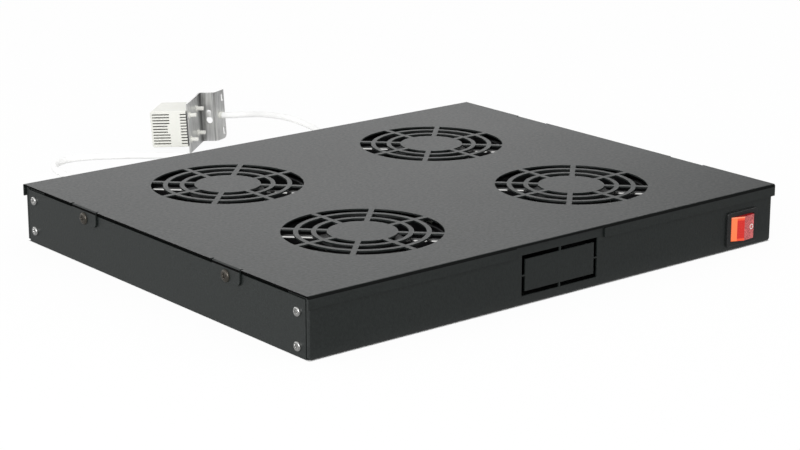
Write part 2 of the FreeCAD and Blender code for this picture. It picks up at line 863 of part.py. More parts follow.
def make_impeller(name, x, y):
    body = new_body("Blades_" + name)
    hub_h = f"({MOUNT_LOW} - hub_gap - hub_low)"
    circle = sketch(body, "HubOutline", "XY", "hub_low")
    circle.addGeometry(Part.Circle(Vector(), Vector(0, 0, 1), value("hub_r")))
    circle.addConstraint(Sketcher.Constraint("Coincident", 0, 3, -1, 1))
    held = circle.addConstraint(Sketcher.Constraint("Radius", 0, value("hub_r")))
    circle.setExpression(f"Constraints[{held}]", formula("hub_r"))
    pad(body, "Hub", circle, hub_h)
    sections = []
    middle_z = f"(hub_low + {hub_h} / 2)"
    for word, radius, pitch in (
        ("Root", "hub_r - hub_wall", "root_pitch"),
        ("Tip", "fan_bore_r + duct_wall", "tip_pitch"),
    ):
        section = sketch(body, "Blade" + word, "XZ", radius)
        corners = []
        for along, through in ((-1, -1), (1, -1), (1, 1), (-1, 1)):
            run, rise = f"{along} * blade_chord / 2", f"{through} * blade_t / 2"
            corners.append(
                (
                    f"{run} * cos({pitch} * 1 deg) - {rise} * sin({pitch} * 1 deg)",
                    f"{middle_z} + {run} * sin({pitch} * 1 deg) + {rise} * cos({pitch} * 1 deg)",
                )
            )
        sections.append(outline(section, corners))
    blade = body.newObject("PartDesign::AdditiveLoft", "Blade")
    blade.Profile = sections[0]
    blade.Sections = [sections[1]]
    blade.Ruled = True
    doc.recompute()
    ring = body.newObject("PartDesign::PolarPattern", "BladeRing")
    ring.Originals = [blade]
    ring.Axis = (circle, ["N_Axis"])
    ring.Angle = 360
    ring.Occurrences = int(value("blades"))
    body.Tip = ring
    sweep = drum(name + "_sweep", "fan_bore_r - blade_gap", FAN_T, 0, 0, "sheet")
    cup = drum(name + "_cup", "hub_r - hub_wall", FAN_T, 0, 0, "hub_low + hub_wall")
    wheel = cut(name + "_wheel", common(name + "_trimmed", body, sweep), cup)
    shaft_low = "(hub_low + hub_wall / 2)"
    shaft = drum(name + "_shaft", "shaft_r", f"{FAN_TOP} - {shaft_low} - shaft_r", 0, 0, shaft_low)
    finish(put(join("Impeller_" + name, wheel, shaft), x, y), "fan_impeller_" + name)


def make_fans():
    for name, x, y in fan_places():
        make_fan_frame("Frame_" + name, x, y)
    for name, x, y in fan_places():
        make_impeller(name, x, y)
    coils = []
    screws = []
    for name, x, y in fan_places():
        low = "(hub_low + hub_wall + coil_gap)"
        core = drum("Core_" + name, "hub_r - hub_wall - coil_gap", f"{MOUNT_LOW} - {low}", x, y, low)
        bore = drum("CoreBore_" + name, "shaft_r + shaft_play", f"2 * {FAN_T}", x, y, f"sheet - {FAN_T} / 2")
        coils.append(cut("Motor_" + name, core, bore))
        for number, (right, back) in enumerate(CORNERS):
            screw_x = f"{x} + {right} * fan_hole_pitch / 2"
            screw_y = f"{y} + {back} * fan_hole_pitch / 2"
            seat = "sheet + flange_t"
            screw = f"{name}_{number}"
            head = drum(f"FanHead_{screw}", "fan_head_r", "fan_head_h", screw_x, screw_y, seat)
            shank = drum(f"FanShank_{screw}", "screw_r - screw_play / 2", seat, screw_x, screw_y, "0")
            screws.append(join(f"FanScrew_{screw}", head, shank))
    finish(group("Motors", coils), "fan_motors")
    finish(group("FanScrews", screws), "fan_screws")


def make_switch():
    face = f"(-{BODY_D} / 2)"
    bezel = block(
        "Bezel",
        BEZEL_W,
        "bezel_t",
        BEZEL_H,
        f"{SWITCH_X} - {BEZEL_W} / 2",
        f"{face} - bezel_t",
        f"switch_z - {BEZEL_H} / 2",
    )
    case = block(
        "SwitchCase",
        "housing_w",
        "housing_d",
        "housing_h",
        f"{SWITCH_X} - housing_w / 2",
        face,
        "switch_z - housing_h / 2",
    )
    well = block(
        "SwitchWell",
        WELL_W,
        "bezel_t + pivot_deep + 2 * rocker_under",
        WELL_H,
        f"{SWITCH_X} - {WELL_W} / 2",
        f"{face} - 2 * bezel_t",
        f"switch_z - {WELL_H} / 2",
    )
    pivots = drum(
        "PivotHole",
        "pivot_r + pivot_play",
        "housing_h + 2 * bezel_t",
        SWITCH_X,
        PIVOT_Y,
        "switch_z - housing_h / 2 - bezel_t",
    )
    case = join("SwitchShell", bezel, case)
    y_axis, bezel_half, bezel_front = Vector(0, 1, 0), value(BEZEL_W + " / 2"), value(f"{face} - bezel_t")
    switch_x = value(SWITCH_X)
    case = rounded(
        "BezelCorners",
        case,
        "bezel_t",
        lambda way, middle: runs_along(way, y_axis) and abs(middle.x - switch_x) > bezel_half - 0.01,
    )
    case = rounded(
        "BezelRim",
        case,
        "bezel_t / 2.5",
        lambda way, middle: abs(middle.y - bezel_front) < 0.01 and not runs_along(way, y_axis),
    )
    finish(cut("SwitchHousing", case, join("SwitchHollow", well, pivots)), "switch_housing")

    body = new_body("RockerBody")
    half = f"({WELL_H} / 2 - rocker_play)"
    edge_x = f"({ROCKER_SKIRT} - rocker_draft)"
    profile = outline(
        sketch(body, "RockerOutline", "XY", f"-{half}"),
        [
            ("0", "-rocker_ridge"),
            (edge_x, "-rocker_edge_y"),
            (ROCKER_SKIRT, "-rocker_edge_y / 8"),
            (f"{ROCKER_SKIRT} - rocker_under / 4", "rocker_under"),
            (f"-{ROCKER_SKIRT} + rocker_under / 4", "rocker_under"),
            (f"-{ROCKER_SKIRT}", "-rocker_edge_y / 8"),
            (f"-{edge_x}", "-rocker_edge_y"),
        ],
    )
    pad(body, "RockerPad", profile, f"2 * {half}")
    reach = "(housing_h / 2 - 2 * pivot_play)"
    stubs = drum("RockerStubs", "pivot_r", f"2 * {reach}", 0, 0, f"-{reach}")
    rocker = join("Rocker", body, stubs)
    rocker.Placement = Placement(Vector(), Rotation(Vector(0, 0, 1), -value("rocker_throw")))
    finish(put(rocker, SWITCH_X, PIVOT_Y, "switch_z"), "switch_rocker")

    terminals = []
    for number, (across, up) in enumerate(CORNERS):
        terminals.append(
            block(
                f"SwitchBlade{number}",
                "blade_term_t",
                "blade_term_l",
                "blade_term_w",
                f"{SWITCH_X} + {across} * housing_w / 4 - blade_term_t / 2",
                f"{face} + housing_d",
                f"switch_z + {up} * housing_h / 4 - blade_term_w / 2",
            )
        )
    finish(group("SwitchBlades", terminals), "switch_terminals")


def make_inlet():
    face = f"({BODY_D} / 2)"
    flange = block(
        "InletFlange",
        "inlet_flange_w",
        "inlet_flange_t",
        "inlet_flange_h",
        "inlet_x - inlet_flange_w / 2",
        face,
        "inlet_z - inlet_flange_h / 2",
    )
    case = block(
        "InletCase",
        "inlet_body_w",
        "inlet_d",
        "inlet_body_h",
        "inlet_x - inlet_body_w / 2",
        f"{face} - inlet_d",
        "inlet_z - inlet_body_h / 2",
    )
    body = new_body("InletWell")
    half_w, half_h = "inlet_well_w / 2", "inlet_well_h / 2"
    well = outline(
        sketch(body, "WellOutline", "XZ", f"-{face} - 2 * inlet_flange_t"),
        [
            (f"inlet_x - {half_w}", f"inlet_z - {half_h}"),
            (f"inlet_x + {half_w}", f"inlet_z - {half_h}"),
            (f"inlet_x + {half_w}", f"inlet_z + {half_h} - inlet_bevel"),
            (f"inlet_x + {half_w} - inlet_bevel", f"inlet_z + {half_h}"),
            (f"inlet_x - {half_w} + inlet_bevel", f"inlet_z + {half_h}"),
            (f"inlet_x - {half_w}", f"inlet_z + {half_h} - inlet_bevel"),
        ],
    )
    pad(body, "WellPad", well, "inlet_well_d + inlet_flange_t")
    finish(cut("InletShell", join("InletWhole", flange, case), body), "inlet_housing")
    pins = []
    for number, (across, up) in enumerate(((-1, -1), (0, 1), (1, -1))):
        pins.append(
            block(
                f"InletPin{number}",
                "inlet_pin_w",
                "inlet_well_d - inlet_pin_deep",
                "inlet_pin_h",
                f"inlet_x + {across} * inlet_pin_pitch / 2 - inlet_pin_w / 2",
                f"{face} + inlet_flange_t - inlet_well_d",
                f"inlet_z + {up} * inlet_pin_rise - inlet_pin_h / 2",
            )
        )
    finish(group("InletPins", pins), "inlet_pins")


def make_terminal_strip():
    body = new_body("TerminalStrip")
    poles = int(value("strip_poles"))
    start = "(-strip_poles * pole_pitch / 2)"
    corners = [(start, "sheet")]
    for number in range(poles):
        left = f"{start} + {number} * pole_pitch + (pole_pitch - pole_w) / 2"
        corners += [
            (left, "sheet + strip_foot"),
            (left, "sheet + strip_top"),
            (f"{left} + pole_w", "sheet + strip_top"),
            (f"{left} + pole_w", "sheet + strip_foot"),
        ]
    corners[1] = (start, "sheet + strip_foot")
    corners[2] = (start, "sheet + strip_top")
    corners[-1] = (f"-{start}", "sheet + strip_foot")
    corners[-2] = (f"-{start}", "sheet + strip_top")
    corners.append((f"-{start}", "sheet"))
    pad(body, "StripPad", outline(sketch(body, "StripOutline", "XZ", "-strip_d / 2"), corners), "strip_d")
    low = "sheet + strip_top - strip_well_deep"
    wells = [
        drum(
            f"StripWell{number}",
            "strip_well_r",
            "2 * strip_well_deep",
            f"{start} + {number + 0.5} * pole_pitch",
            "0",
            low,
        )
        for number in range(poles)
    ]
    finish(cut("Strip", body, *wells), "terminal_strip")


def make_bushing():
    face = f"({BODY_D} / 2)"
    neck = drum("BushingNeck", "bushing_r", "bushing_in", "lead_x", f"{face} - bushing_in", "lead_z", "y")
    flange = drum("BushingFlange", "bushing_flange_r", "bushing_flange_t", "lead_x", face, "lead_z", "y")
    nose = cone(
        "BushingNose",
        "bushing_r",
        "bushing_tip_r",
        "bushing_out - bushing_flange_t",
        "lead_x",
        f"{face} + bushing_flange_t",
        "lead_z",
        "y",
    )
    finish(join("Bushing", neck, flange, nose), "lead_bushing")


def tube_shape(points, radius):
    """Tube along straight runs that are joined by arcs as large as the runs allow."""
    places = [Vector(*point) for point in points]
    pieces = []
    radii = []
    start = places[0]
    for before, corner, after in zip(places, places[1:], places[2:]):
        back, ahead = before - corner, after - corner
        shorter = min(back.Length, ahead.Length)
        turn = math.pi - back.getAngle(ahead)
        arc_r = 0.45 * shorter / math.tan(turn / 2)
        radii.append(arc_r)
        back.normalize()
        ahead.normalize()
        inwards = (back + ahead).normalize()
        first = corner + back * (0.45 * shorter)
        last = corner + ahead * (0.45 * shorter)
        middle = corner + inwards * (arc_r / math.cos(turn / 2) - arc_r)
        pieces.append(Part.LineSegment(start, first).toShape())
        pieces.append(Part.Arc(first, middle, last).toShape())
        start = last
    pieces.append(Part.LineSegment(start, places[-1]).toShape())
    path = Part.Wire(pieces)
    ring = Part.Wire(Part.Circle(places[0], places[1] - places[0], radius).toShape())
    tube = path.makePipeShell([ring], True, True)
    print("lead: length %.1f, least radius %.1f" % (path.Length, min(radii)))
    print("lead radii:", " ".join("%.0f" % arc_r for arc_r in radii))
    print("lead: volume over section times length %.5f" % (tube.Volume / (math.pi * radius**2 * path.Length)))
    return tube


def make_lead():
    thing = doc.addObject("Part::Feature", "Lead")
    thing.Shape = tube_shape(LEAD_ROUTE, value("lead_r"))
    finish(thing, "thermostat_lead")


def stand(thing, label):
    """Turns and leans a piece of the thermostat from its own axes to where it stands behind the tray."""
    placed = group(thing.Name + "Placed", [thing])
    turn = Rotation(Vector(0, 0, 1), -value("stat_turn"))
    lean = Rotation(Vector(0, 1, 0), -value("stat_lean"))
    placed.Placement = Placement(Vector(), turn * lean)
    return finish(put(placed, "stat_x", "stat_y"), label)


def swing(name, things):
    """Turns tools from the third plate's own axes, X out of it and Y along it, to the plate."""
    swung = group(name, things)
    swung.Placement = Placement(Vector(), Rotation(Vector(0, 0, 1), -value("plate_open")))
    return put(swung, "plate_two", "plate_one")


def make_bracket():
    """Z-shaped plate. X here runs along the lead's side, Y away from the tray."""
    body = new_body("BracketSheet")
    t = "bracket_t"
    back = "plate_one"
    sine, cosine = "sin(plate_open * 1 deg)", "cos(plate_open * 1 deg)"
    fold_x = f"(plate_two + {t} * (1 - {sine}) / {cosine})"
    foot_x, foot_y = f"(plate_two + plate_three * {sine})", f"({back} + plate_three * {cosine})"
    drawing = outline(
        sketch(body, "BracketSection", "XY"),
        [
            ("0", "0"),
            (t, "0"),
            (t, f"{back} - {t}"),
            (fold_x, f"{back} - {t}"),
            (f"{foot_x} + {t} * {cosine}", f"{foot_y} - {t} * {sine}"),
            (foot_x, foot_y),
            ("plate_two", back),
            ("0", back),
        ],
    )
    pad(body, "BracketPad", drawing, "bracket_h")
    z_axis = Vector(0, 0, 1)
    bends = ((0.0, value(back)), (value(fold_x), value(f"{back} - {t}")))
    soften(
        body,
        "OuterBends",
        "bracket_bend",
        lambda way, middle: runs_along(way, z_axis)
        and any(math.hypot(middle.x - x, middle.y - y) < 0.01 for x, y in bends),
    )
    folds = ((value(t), value(f"{back} - {t}")), (value("plate_two"), value(back)))
    soften(
        body,
        "InnerBends",
        f"bracket_bend - {t}",
        lambda way, middle: runs_along(way, z_axis)
        and any(math.hypot(middle.x - x, middle.y - y) < 0.01 for x, y in folds),
    )
    far_x, far_y, reach = value(foot_x), value(foot_y), value(t)
    soften(
        body,
        "FootCorner",
        "bracket_corner",
        lambda way, middle: abs(way.z) < 0.01
        and middle.z < 0.01
        and math.hypot(middle.x - far_x, middle.y - far_y) < reach,
    )
    y = f"{back} - 2 * {t}"
    key = join(
        "Keyhole",
        drum("KeyHead", "key_r", f"3 * {t}", "key_u", y, "key_z", "y"),
        drum("KeyNeck", "key_neck_r", f"3 * {t}", "key_u", y, "key_z + key_rise", "y"),
        block("KeySlot", "2 * key_neck_r", f"3 * {t}", "key_rise", "key_u - key_neck_r", y, "key_z"),
    )
    tools = [key]
    low, long = f"-{t}", f"4 * {t}"
    punched = [drum("BracketLeadHole", GROMMET_R, long, low, "lead_hole_w", "lead_hole_z", "x")]
    for word, middle in (("Low", "oblong_low"), ("High", "oblong_high")):
        half = "(oblong_l / 2 - oblong_r)"
        start = f"{middle} - {half}"
        punched.append(
            join(
                "Oblong" + word,
                drum("OblongFoot" + word, "oblong_r", long, low, "oblong_w", start, "x"),
                drum("OblongHead" + word, "oblong_r", long, low, "oblong_w", f"{middle} + {half}", "x"),
                block("OblongWaist" + word, long, "2 * oblong_r", f"2 * {half}", low, "oblong_w - oblong_r", start),
            )
        )
    tools.append(swing("PlateThreeTools", punched))
    for number, (across, up) in enumerate(post_places()):
        tools.append(drum(f"PostHole{number}", "post_r + post_play", f"3 * {t}", f"-{t}", across, up, "x"))
    stand(cut("Bracket", body, *tools), "thermostat_bracket")


def make_grommet():
    """Sleeve with a flange inside the bracket's third plate, where the lead comes through."""
    y, z = "lead_hole_w", "lead_hole_z"
    flange = drum("GrommetFlange", "grommet_flange_r", "grommet_flange_t", "-grommet_flange_t", y, z, "x")
    length = "grommet_flange_t + bracket_t + grommet_out"
    sleeve = drum("GrommetSleeve", GROMMET_R, length, "-grommet_flange_t", y, z, "x")
    bore = drum("GrommetBore", "lead_r + lead_play", f"3 * ({length})", f"-({length})", y, z, "x")
    stand(swing("GrommetSwung", [cut("Grommet", join("GrommetWhole", flange, sleeve), bore)]), "bracket_grommet")


def post_places():
    """Middles of the four posts across the first plate of the bracket."""
    middle_y, middle_z = "post_middle_w", "(stat_z + stat_height / 2)"
    return [
        (f"{middle_y} + {across} * post_pitch_w / 2", f"{middle_z} + {up} * post_pitch_z / 2")
        for across in (-1, 1)
        for up in (-1, 1)
    ]


def make_thermostat():
    rim = "(stat_wall + stat_base_play)"
    wide, high = f"stat_w - 2 * {rim}", f"stat_height - 2 * {rim}"
    low_y, low_z = f"stat_off + {rim}", f"stat_z + {rim}"
    plate = block("StatPlate", "stat_base_t", wide, high, "-stat_base_t", low_y, low_z)
    posts = []
    for number, (across, up) in enumerate(post_places()):
        reach = "bracket_t + post_l"
        length = f"{reach} + stat_base_t / 2"
        posts.append(drum(f"Post{number}", "post_r", length, "-stat_base_t / 2", across, up, "x"))
        posts.append(drum(f"PostCollar{number}", "collar_r", "collar_t", "bracket_t", across, up, "x"))
    stand(join("StatBase", plate, *posts), "thermostat_base")

    body = new_body("CoverBody")
    wall = "stat_wall"
    middle_y, middle_z = "stat_off + stat_w / 2", "stat_z + stat_height / 2"
    drawing = rectangle(
        sketch(body, "CoverOutline", "YZ", "-stat_l"),
        "stat_off",
        "stat_z",
        "stat_off + stat_w",
        "stat_z + stat_height",
    )
    pad(body, "CoverPad", drawing, "stat_l")
    end, x_axis = value("-stat_l"), Vector(1, 0, 0)
    doc.recompute()
    tip = body.Tip
    rim = [
        f"Edge{number}"
        for number, edge in enumerate(tip.Shape.Edges, start=1)
        if max(abs(vertex.X - end) for vertex in edge.Vertexes) < 0.01
    ]
    chamfer = body.newObject("PartDesign::Chamfer", "CoverEnd")
    chamfer.Base = (tip, rim)
    bind(chamfer, Size="stat_bevel")
    soften(body, "CoverEdges", "stat_bevel / 2", lambda way, middle: runs_along(way, x_axis))
    hollow = block(
        "CoverHollow",
        "stat_l",
        f"stat_w - 2 * {wall}",
        f"stat_height - 2 * {wall}",
        f"-stat_l + {wall}",
        f"stat_off + {wall}",
        f"stat_z + {wall}",
    )
    vents = []
    for number in range(int(value("vents"))):
        low = f"{middle_z} + ({number} - (vents - 1) / 2) * vent_pitch - vent_h / 2"
        inner = abs(number - (value("vents") - 1) / 2) < 1.5
        long = "vent_long - vent_step" if inner else "vent_long"
        for word, length, start in (
            ("Long", long, "-stat_l + vent_edge"),
            ("Short", f"vent_short + {wall}", "-vent_short"),
        ):
            side_y = f"stat_off - {wall} / 2"
            vents.append(block(f"Vent{word}{number}", length, f"2 * {wall}", "vent_h", start, side_y, low))
    spindle_hole = drum(
        "SpindleHole",
        "spindle_r + spindle_play",
        f"4 * {wall}",
        f"-stat_l - {wall}",
        middle_y,
        middle_z,
        "x",
    )
    entry = drum(
        "LeadEntry",
        "lead_r + entry_play",
        f"4 * {wall}",
        "-lead_entry",
        f"stat_off + stat_w - 2 * {wall}",
        "lead_hole_z",
        "y",
    )
    shell = cut("CoverShell", body, join("CoverInside", hollow, spindle_hole, entry))
    stand(cut("Cover", shell, *vents), "thermostat_cover")

    knob_end = "-stat_l - dial_l"
    knob = drum("Knob", "dial_r", "dial_l - knob_gap", knob_end, middle_y, middle_z, "x")
    spindle_l = "dial_l / 2 + spindle_in"
    spindle = drum("Spindle", "spindle_r", spindle_l, f"{knob_end} + dial_l / 2", middle_y, middle_z, "x")
    stand(join("Dial", knob, spindle), "thermostat_dial")
    works = block(
        "Works",
        "stat_l - stat_base_t - stat_wall - spindle_in - works_gap",
        "stat_w - 4 * stat_wall",
        "stat_height - 4 * stat_wall",
        "-stat_l + stat_wall + spindle_in + works_gap",
        "stat_off + 2 * stat_wall",
        "stat_z + 2 * stat_wall",
    )
    stand(works, "thermostat_switch")


def write_parts():
    doc.recompute()
    bad = [thing.Name for thing in doc.Objects if {"Invalid", "Error"} & set(thing.State)]
    for thing in finished:
        if thing.Shape.isNull() or not thing.Shape.isValid() or not thing.Shape.Solids:
            bad.append(thing.Label)
    if bad:
        raise RuntimeError("not built: " + ", ".join(bad))
    os.makedirs("parts", exist_ok=True)
    for thing in finished:
        thing.Shape.exportStep(os.path.join("parts", thing.Label + ".step"))
    print(len(finished), "nodes written")


fill_sheet()
make_lid()
make_base_tray()
make_side_panel("left", "-")
make_side_panel("right", "")
make_case_screws()
make_fans()
make_switch()
make_inlet()
make_terminal_strip()
make_bushing()
make_lead()
make_bracket()
make_grommet()
make_thermostat()
write_parts()
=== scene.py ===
"""Looks of a one-unit rack fan tray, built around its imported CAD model.

Metres throughout, in the frame of the CAD model: the origin is the middle of the tray's underside,
+X runs to the right along the front, +Y to the rear and +Z up through the lid.
"""

import json
import logging
import math
from dataclasses import dataclass, field
from enum import Enum
from typing import Any, Callable, Iterable, Mapping, Optional, Sequence, Union

import bmesh
import bpy
from mathutils import Matrix, Quaternion, Vector

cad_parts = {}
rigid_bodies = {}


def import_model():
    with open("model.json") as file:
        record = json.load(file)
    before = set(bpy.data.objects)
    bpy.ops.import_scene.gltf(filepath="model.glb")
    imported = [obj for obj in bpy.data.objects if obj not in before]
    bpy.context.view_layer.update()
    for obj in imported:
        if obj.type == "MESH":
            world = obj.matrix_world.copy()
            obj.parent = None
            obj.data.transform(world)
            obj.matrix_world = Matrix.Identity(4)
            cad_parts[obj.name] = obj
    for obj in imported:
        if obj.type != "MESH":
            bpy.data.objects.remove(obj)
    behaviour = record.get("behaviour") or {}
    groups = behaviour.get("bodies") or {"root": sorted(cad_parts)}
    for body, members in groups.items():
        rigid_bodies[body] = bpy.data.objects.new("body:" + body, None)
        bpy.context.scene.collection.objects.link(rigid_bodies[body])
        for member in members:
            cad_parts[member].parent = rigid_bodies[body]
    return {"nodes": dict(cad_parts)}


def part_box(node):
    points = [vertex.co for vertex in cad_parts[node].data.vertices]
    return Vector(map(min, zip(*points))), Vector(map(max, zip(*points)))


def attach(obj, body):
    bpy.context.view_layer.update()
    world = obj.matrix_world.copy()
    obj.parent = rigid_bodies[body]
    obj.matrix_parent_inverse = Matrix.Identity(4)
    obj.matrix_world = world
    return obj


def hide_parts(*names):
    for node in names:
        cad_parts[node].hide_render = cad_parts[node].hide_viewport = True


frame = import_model()

log = logging.getLogger("rack_fan_tray")
MM = 0.001
Colour = tuple[float, float, float]
Number = Union[int, float]
ROCKER_PIVOT = (185.0 * MM, -171.0 * MM, 16.6 * MM)
ROCKER_TURN = math.radians(9.0)
SAME_PLACE = 1e-6


class Slot(Enum):
    """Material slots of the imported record."""

    CASE = "case_powder_coat"
    ZINC = "zinc_screw"
    DARK = "dark_screw"
    MOTOR = "motor_steel"
    FRAME = "fan_frame_black"
    BLADE = "fan_blade_black"
    BLACK = "black_plastic"
    ROCKER = "red_rocker"
    TINNED = "tinned_brass"
    WHITE = "white_plastic"
    GREY = "grey_plastic"
    LEAD = "white_lead"
    STEEL = "galvanised_steel"


# ---------------------------------------------------------------- node trees


class Signal:
    """An output of a node tree that Python's operators compute with, one Math node each."""

    def __init__(self, book: "NodeBook", socket: bpy.types.NodeSocket) -> None:
        """Wraps a socket.

        Args:
            book: The tree that the socket belongs to.
            socket: The output to compute with.
        """
        self.book = book
        self.socket = socket

    def maths(self, operation: str, *others: Union["Signal", Number]) -> "Signal":
        """Adds one Math node.

        Args:
            operation: The node's operation, such as "ADD".
            others: What follows this signal in the node's inputs.

        Returns:
            The node's result.
        """
        inputs = dict(enumerate((self, *others)))
        return self.book.node("ShaderNodeMath", {"operation": operation}, inputs)[0]

    def __add__(self, other: Union["Signal", Number]) -> "Signal":
        """Sum."""
        return self.maths("ADD", other)

    __radd__ = __add__

    def __mul__(self, other: Union["Signal", Number]) -> "Signal":
        """Product."""
        return self.maths("MULTIPLY", other)

    __rmul__ = __mul__

    def __sub__(self, other: Union["Signal", Number]) -> "Signal":
        """Difference."""
        return self.maths("SUBTRACT", other)

    def __rsub__(self, other: Number) -> "Signal":
        """Difference from a number, such as 1 - mask."""
        return (self * -1.0).maths("ADD", other)

    def __abs__(self) -> "Signal":
        """Size without its sign."""
        return self.maths("ABSOLUTE")

    def __lt__(self, other: Union["Signal", Number]) -> "Signal":
        """1 where this is the smaller, else 0."""
        return self.maths("LESS_THAN", other)

    def __gt__(self, other: Union["Signal", Number]) -> "Signal":
        """1 where this is the larger, else 0."""
        return self.maths("GREATER_THAN", other)

    def ramp(self, low: Number, high: Number, at_low: Number = 0.0, at_high: Number = 1.0) -> "Signal":
        """Smooth step between two values of this signal.

        Args:
            low: Where the step starts.
            high: Where it ends.
            at_low: The result at and below its start.
            at_high: The result at and above its end.

        Returns:
            The stepped signal.
        """
        settings = {"interpolation_type": "SMOOTHSTEP"}
        inputs = dict(enumerate((self, low, high, at_low, at_high)))
        return self.book.node("ShaderNodeMapRange", settings, inputs)[0]


class NodeBook:
    """Adds nodes to a tree, with their settings and what goes into their sockets."""

    def __init__(self, tree: bpy.types.NodeTree) -> None:
        """Starts on a tree.

        Args:
            tree: The shader or geometry tree to fill.
        """
        self.tree = tree

    def node(
        self,
        kind: str,
        settings: Optional[Mapping[str, Any]] = None,
        inputs: Optional[Mapping[Union[str, int], Any]] = None,
    ) -> list[Signal]:
        """Adds one node.

        Args:
            kind: The node's type.
            settings: Attributes that are set first.
            inputs: A value or a signal for each socket, by name or number.

        Returns:
            The node's outputs.
        """
        made = self.tree.nodes.new(kind)
        for name, value in (settings or {}).items():
            setattr(made, name, value)
        for key, value in (inputs or {}).items():
            if isinstance(value, Signal):
                self.tree.links.new(value.socket, made.inputs[key])
            elif value is not None:
                made.inputs[key].default_value = value
        return [Signal(self, output) for output in made.outputs]

    def named(self, kind: str) -> dict[str, Signal]:
        """Adds a node and gives its outputs by name."""
        return {out.socket.name: out for out in self.node(kind)}


class Recipe(NodeBook):
    """The shader tree of one material, on Object coordinates."""

    def __init__(self, name: str) -> None:
        """Starts an empty material.

        Args:
            name: The material's name.
        """
        self.material = bpy.data.materials.new(name)
        self.material.use_nodes = True
        super().__init__(self.material.node_tree)
        self.tree.nodes.clear()
        self.place = self.named("ShaderNodeTexCoord")["Object"]

    def axes(self) -> tuple[Signal, Signal, Signal]:
        """X, Y and Z of the surface in the object's own frame."""
        x, y, z = self.node("ShaderNodeSeparateXYZ", inputs={0: self.place})
        return x, y, z

    def stretched(self, scale: Sequence[float]) -> Signal:
        """Object coordinates, scaled along each axis."""
        return self.node("ShaderNodeMapping", inputs={"Vector": self.place, "Scale": scale})[0]

    def noise(self, scale: float, detail: float = 2.0, rough: float = 0.5, at: Optional[Signal] = None) -> Signal:
        """Smooth noise from 0 to 1.

        Args:
            scale: Waves per metre.
            detail: Octaves.
            rough: How much the finer octaves weigh.
            at: Coordinates, where they aren't the object's own.

        Returns:
            The noise.
        """
        inputs = {"Vector": at or self.place, "Scale": scale, "Detail": detail, "Roughness": rough}
        return self.node("ShaderNodeTexNoise", {"noise_dimensions": "3D"}, inputs)[0]

    def mix(self, share: Union[Signal, float], first: Any, second: Any) -> Signal:
        """Colour between two others.

        Args:
            share: How much of the second.
            first: Colour or signal.
            second: Colour or signal.

        Returns:
            The mixed colour.
        """
        sides = [(*side, 1.0) if isinstance(side, tuple) else side for side in (first, second)]
        inputs = {0: share, 6: sides[0], 7: sides[1]}
        return self.node("ShaderNodeMix", {"data_type": "RGBA"}, inputs)[2]

    def tinted(self, colour: Colour, spread: float, share: Signal) -> Signal:
        """A colour that is darker and lighter by a spread.

        Args:
            colour: The colour in the middle.
            spread: Share by which it may differ.
            share: From 0, the darkest, to 1, the lightest.

        Returns:
            The varied colour.
        """
        dark = tuple(part * (1.0 - spread) for part in colour)
        light = tuple(min(1.0, part * (1.0 + spread)) for part in colour)
        return self.mix(share, dark, light)

    def bump(self, height: Signal, depth: float, strength: float = 1.0) -> Signal:
        """A normal that follows a height.

        Args:
            height: From 0 to 1.
            depth: What a height of 1 stands for, in metres.
            strength: Share of the whole effect.

        Returns:
            The normal.
        """
        inputs = {"Height": height, "Distance": depth, "Strength": strength}
        return self.node("ShaderNodeBump", inputs=inputs)[0]

    def finish(self, **sockets: Any) -> bpy.types.Material:
        """Ends the tree in a Principled shader.

        Args:
            sockets: Its inputs, with _ in place of the spaces in their names.

        Returns:
            The material.
        """
        inputs = {name.replace("_", " "): value for name, value in sockets.items()}
        shader = self.node("ShaderNodeBsdfPrincipled", inputs=inputs)[0]
        self.node("ShaderNodeOutputMaterial", inputs={"Surface": shader})
        return self.material


class Former(NodeBook):
    """A Geometry Nodes tree with named inputs, whose result becomes a plain mesh."""

    def __init__(self, name: str, **sizes: str) -> None:
        """Starts a tree that takes a geometry.

        Args:
            name: The tree's name.
            sizes: Each named input and its socket type, such as Turn="NodeSocketFloat".
        """
        super().__init__(bpy.data.node_groups.new(name, "GeometryNodeTree"))
        face = self.tree.interface
        face.new_socket("Geometry", in_out="INPUT", socket_type="NodeSocketGeometry")
        self.ids = {
            key: face.new_socket(key.replace("_", " "), in_out="INPUT", socket_type=kind).identifier
            for key, kind in sizes.items()
        }
        face.new_socket("Geometry", in_out="OUTPUT", socket_type="NodeSocketGeometry")
        inlet = self.node("NodeGroupInput")
        self.start, self.inlet = inlet[0], dict(zip(sizes, inlet[1:]))

    def end(self, result: Signal) -> "Former":
        """Closes the tree: instances made real, then the material of the Finish input.

        Args:
            result: The geometry to end with.

        Returns:
            This tree.
        """
        solid = self.node("GeometryNodeRealizeInstances", inputs={0: result})[0]
        inputs = {"Geometry": solid, "Material": self.inlet["Finish"]}
        dressed = self.node("GeometryNodeSetMaterial", inputs=inputs)[0]
        self.node("NodeGroupOutput", inputs={0: dressed})
        return self

    def shape(self, seed: bpy.types.Mesh, **values: Any) -> bpy.types.Mesh:
        """Runs the tree on a mesh.

        Args:
            seed: The mesh that the tree starts from.
            values: One for each named input.

        Returns:
            The result as a plain mesh.
        """
        carrier = bpy.data.objects.new("carrier", seed)
        bpy.context.scene.collection.objects.link(carrier)
        modifier = carrier.modifiers.new("form", "NODES")
        modifier.node_group = self.tree
        for key, value in values.items():
            modifier[self.ids[key]] = value
        graph = bpy.context.evaluated_depsgraph_get()
        made = bpy.data.meshes.new_from_object(carrier.evaluated_get(graph), depsgraph=graph)
        bpy.data.objects.remove(carrier)
        return made


# ---------------------------------------------------------------- finishes


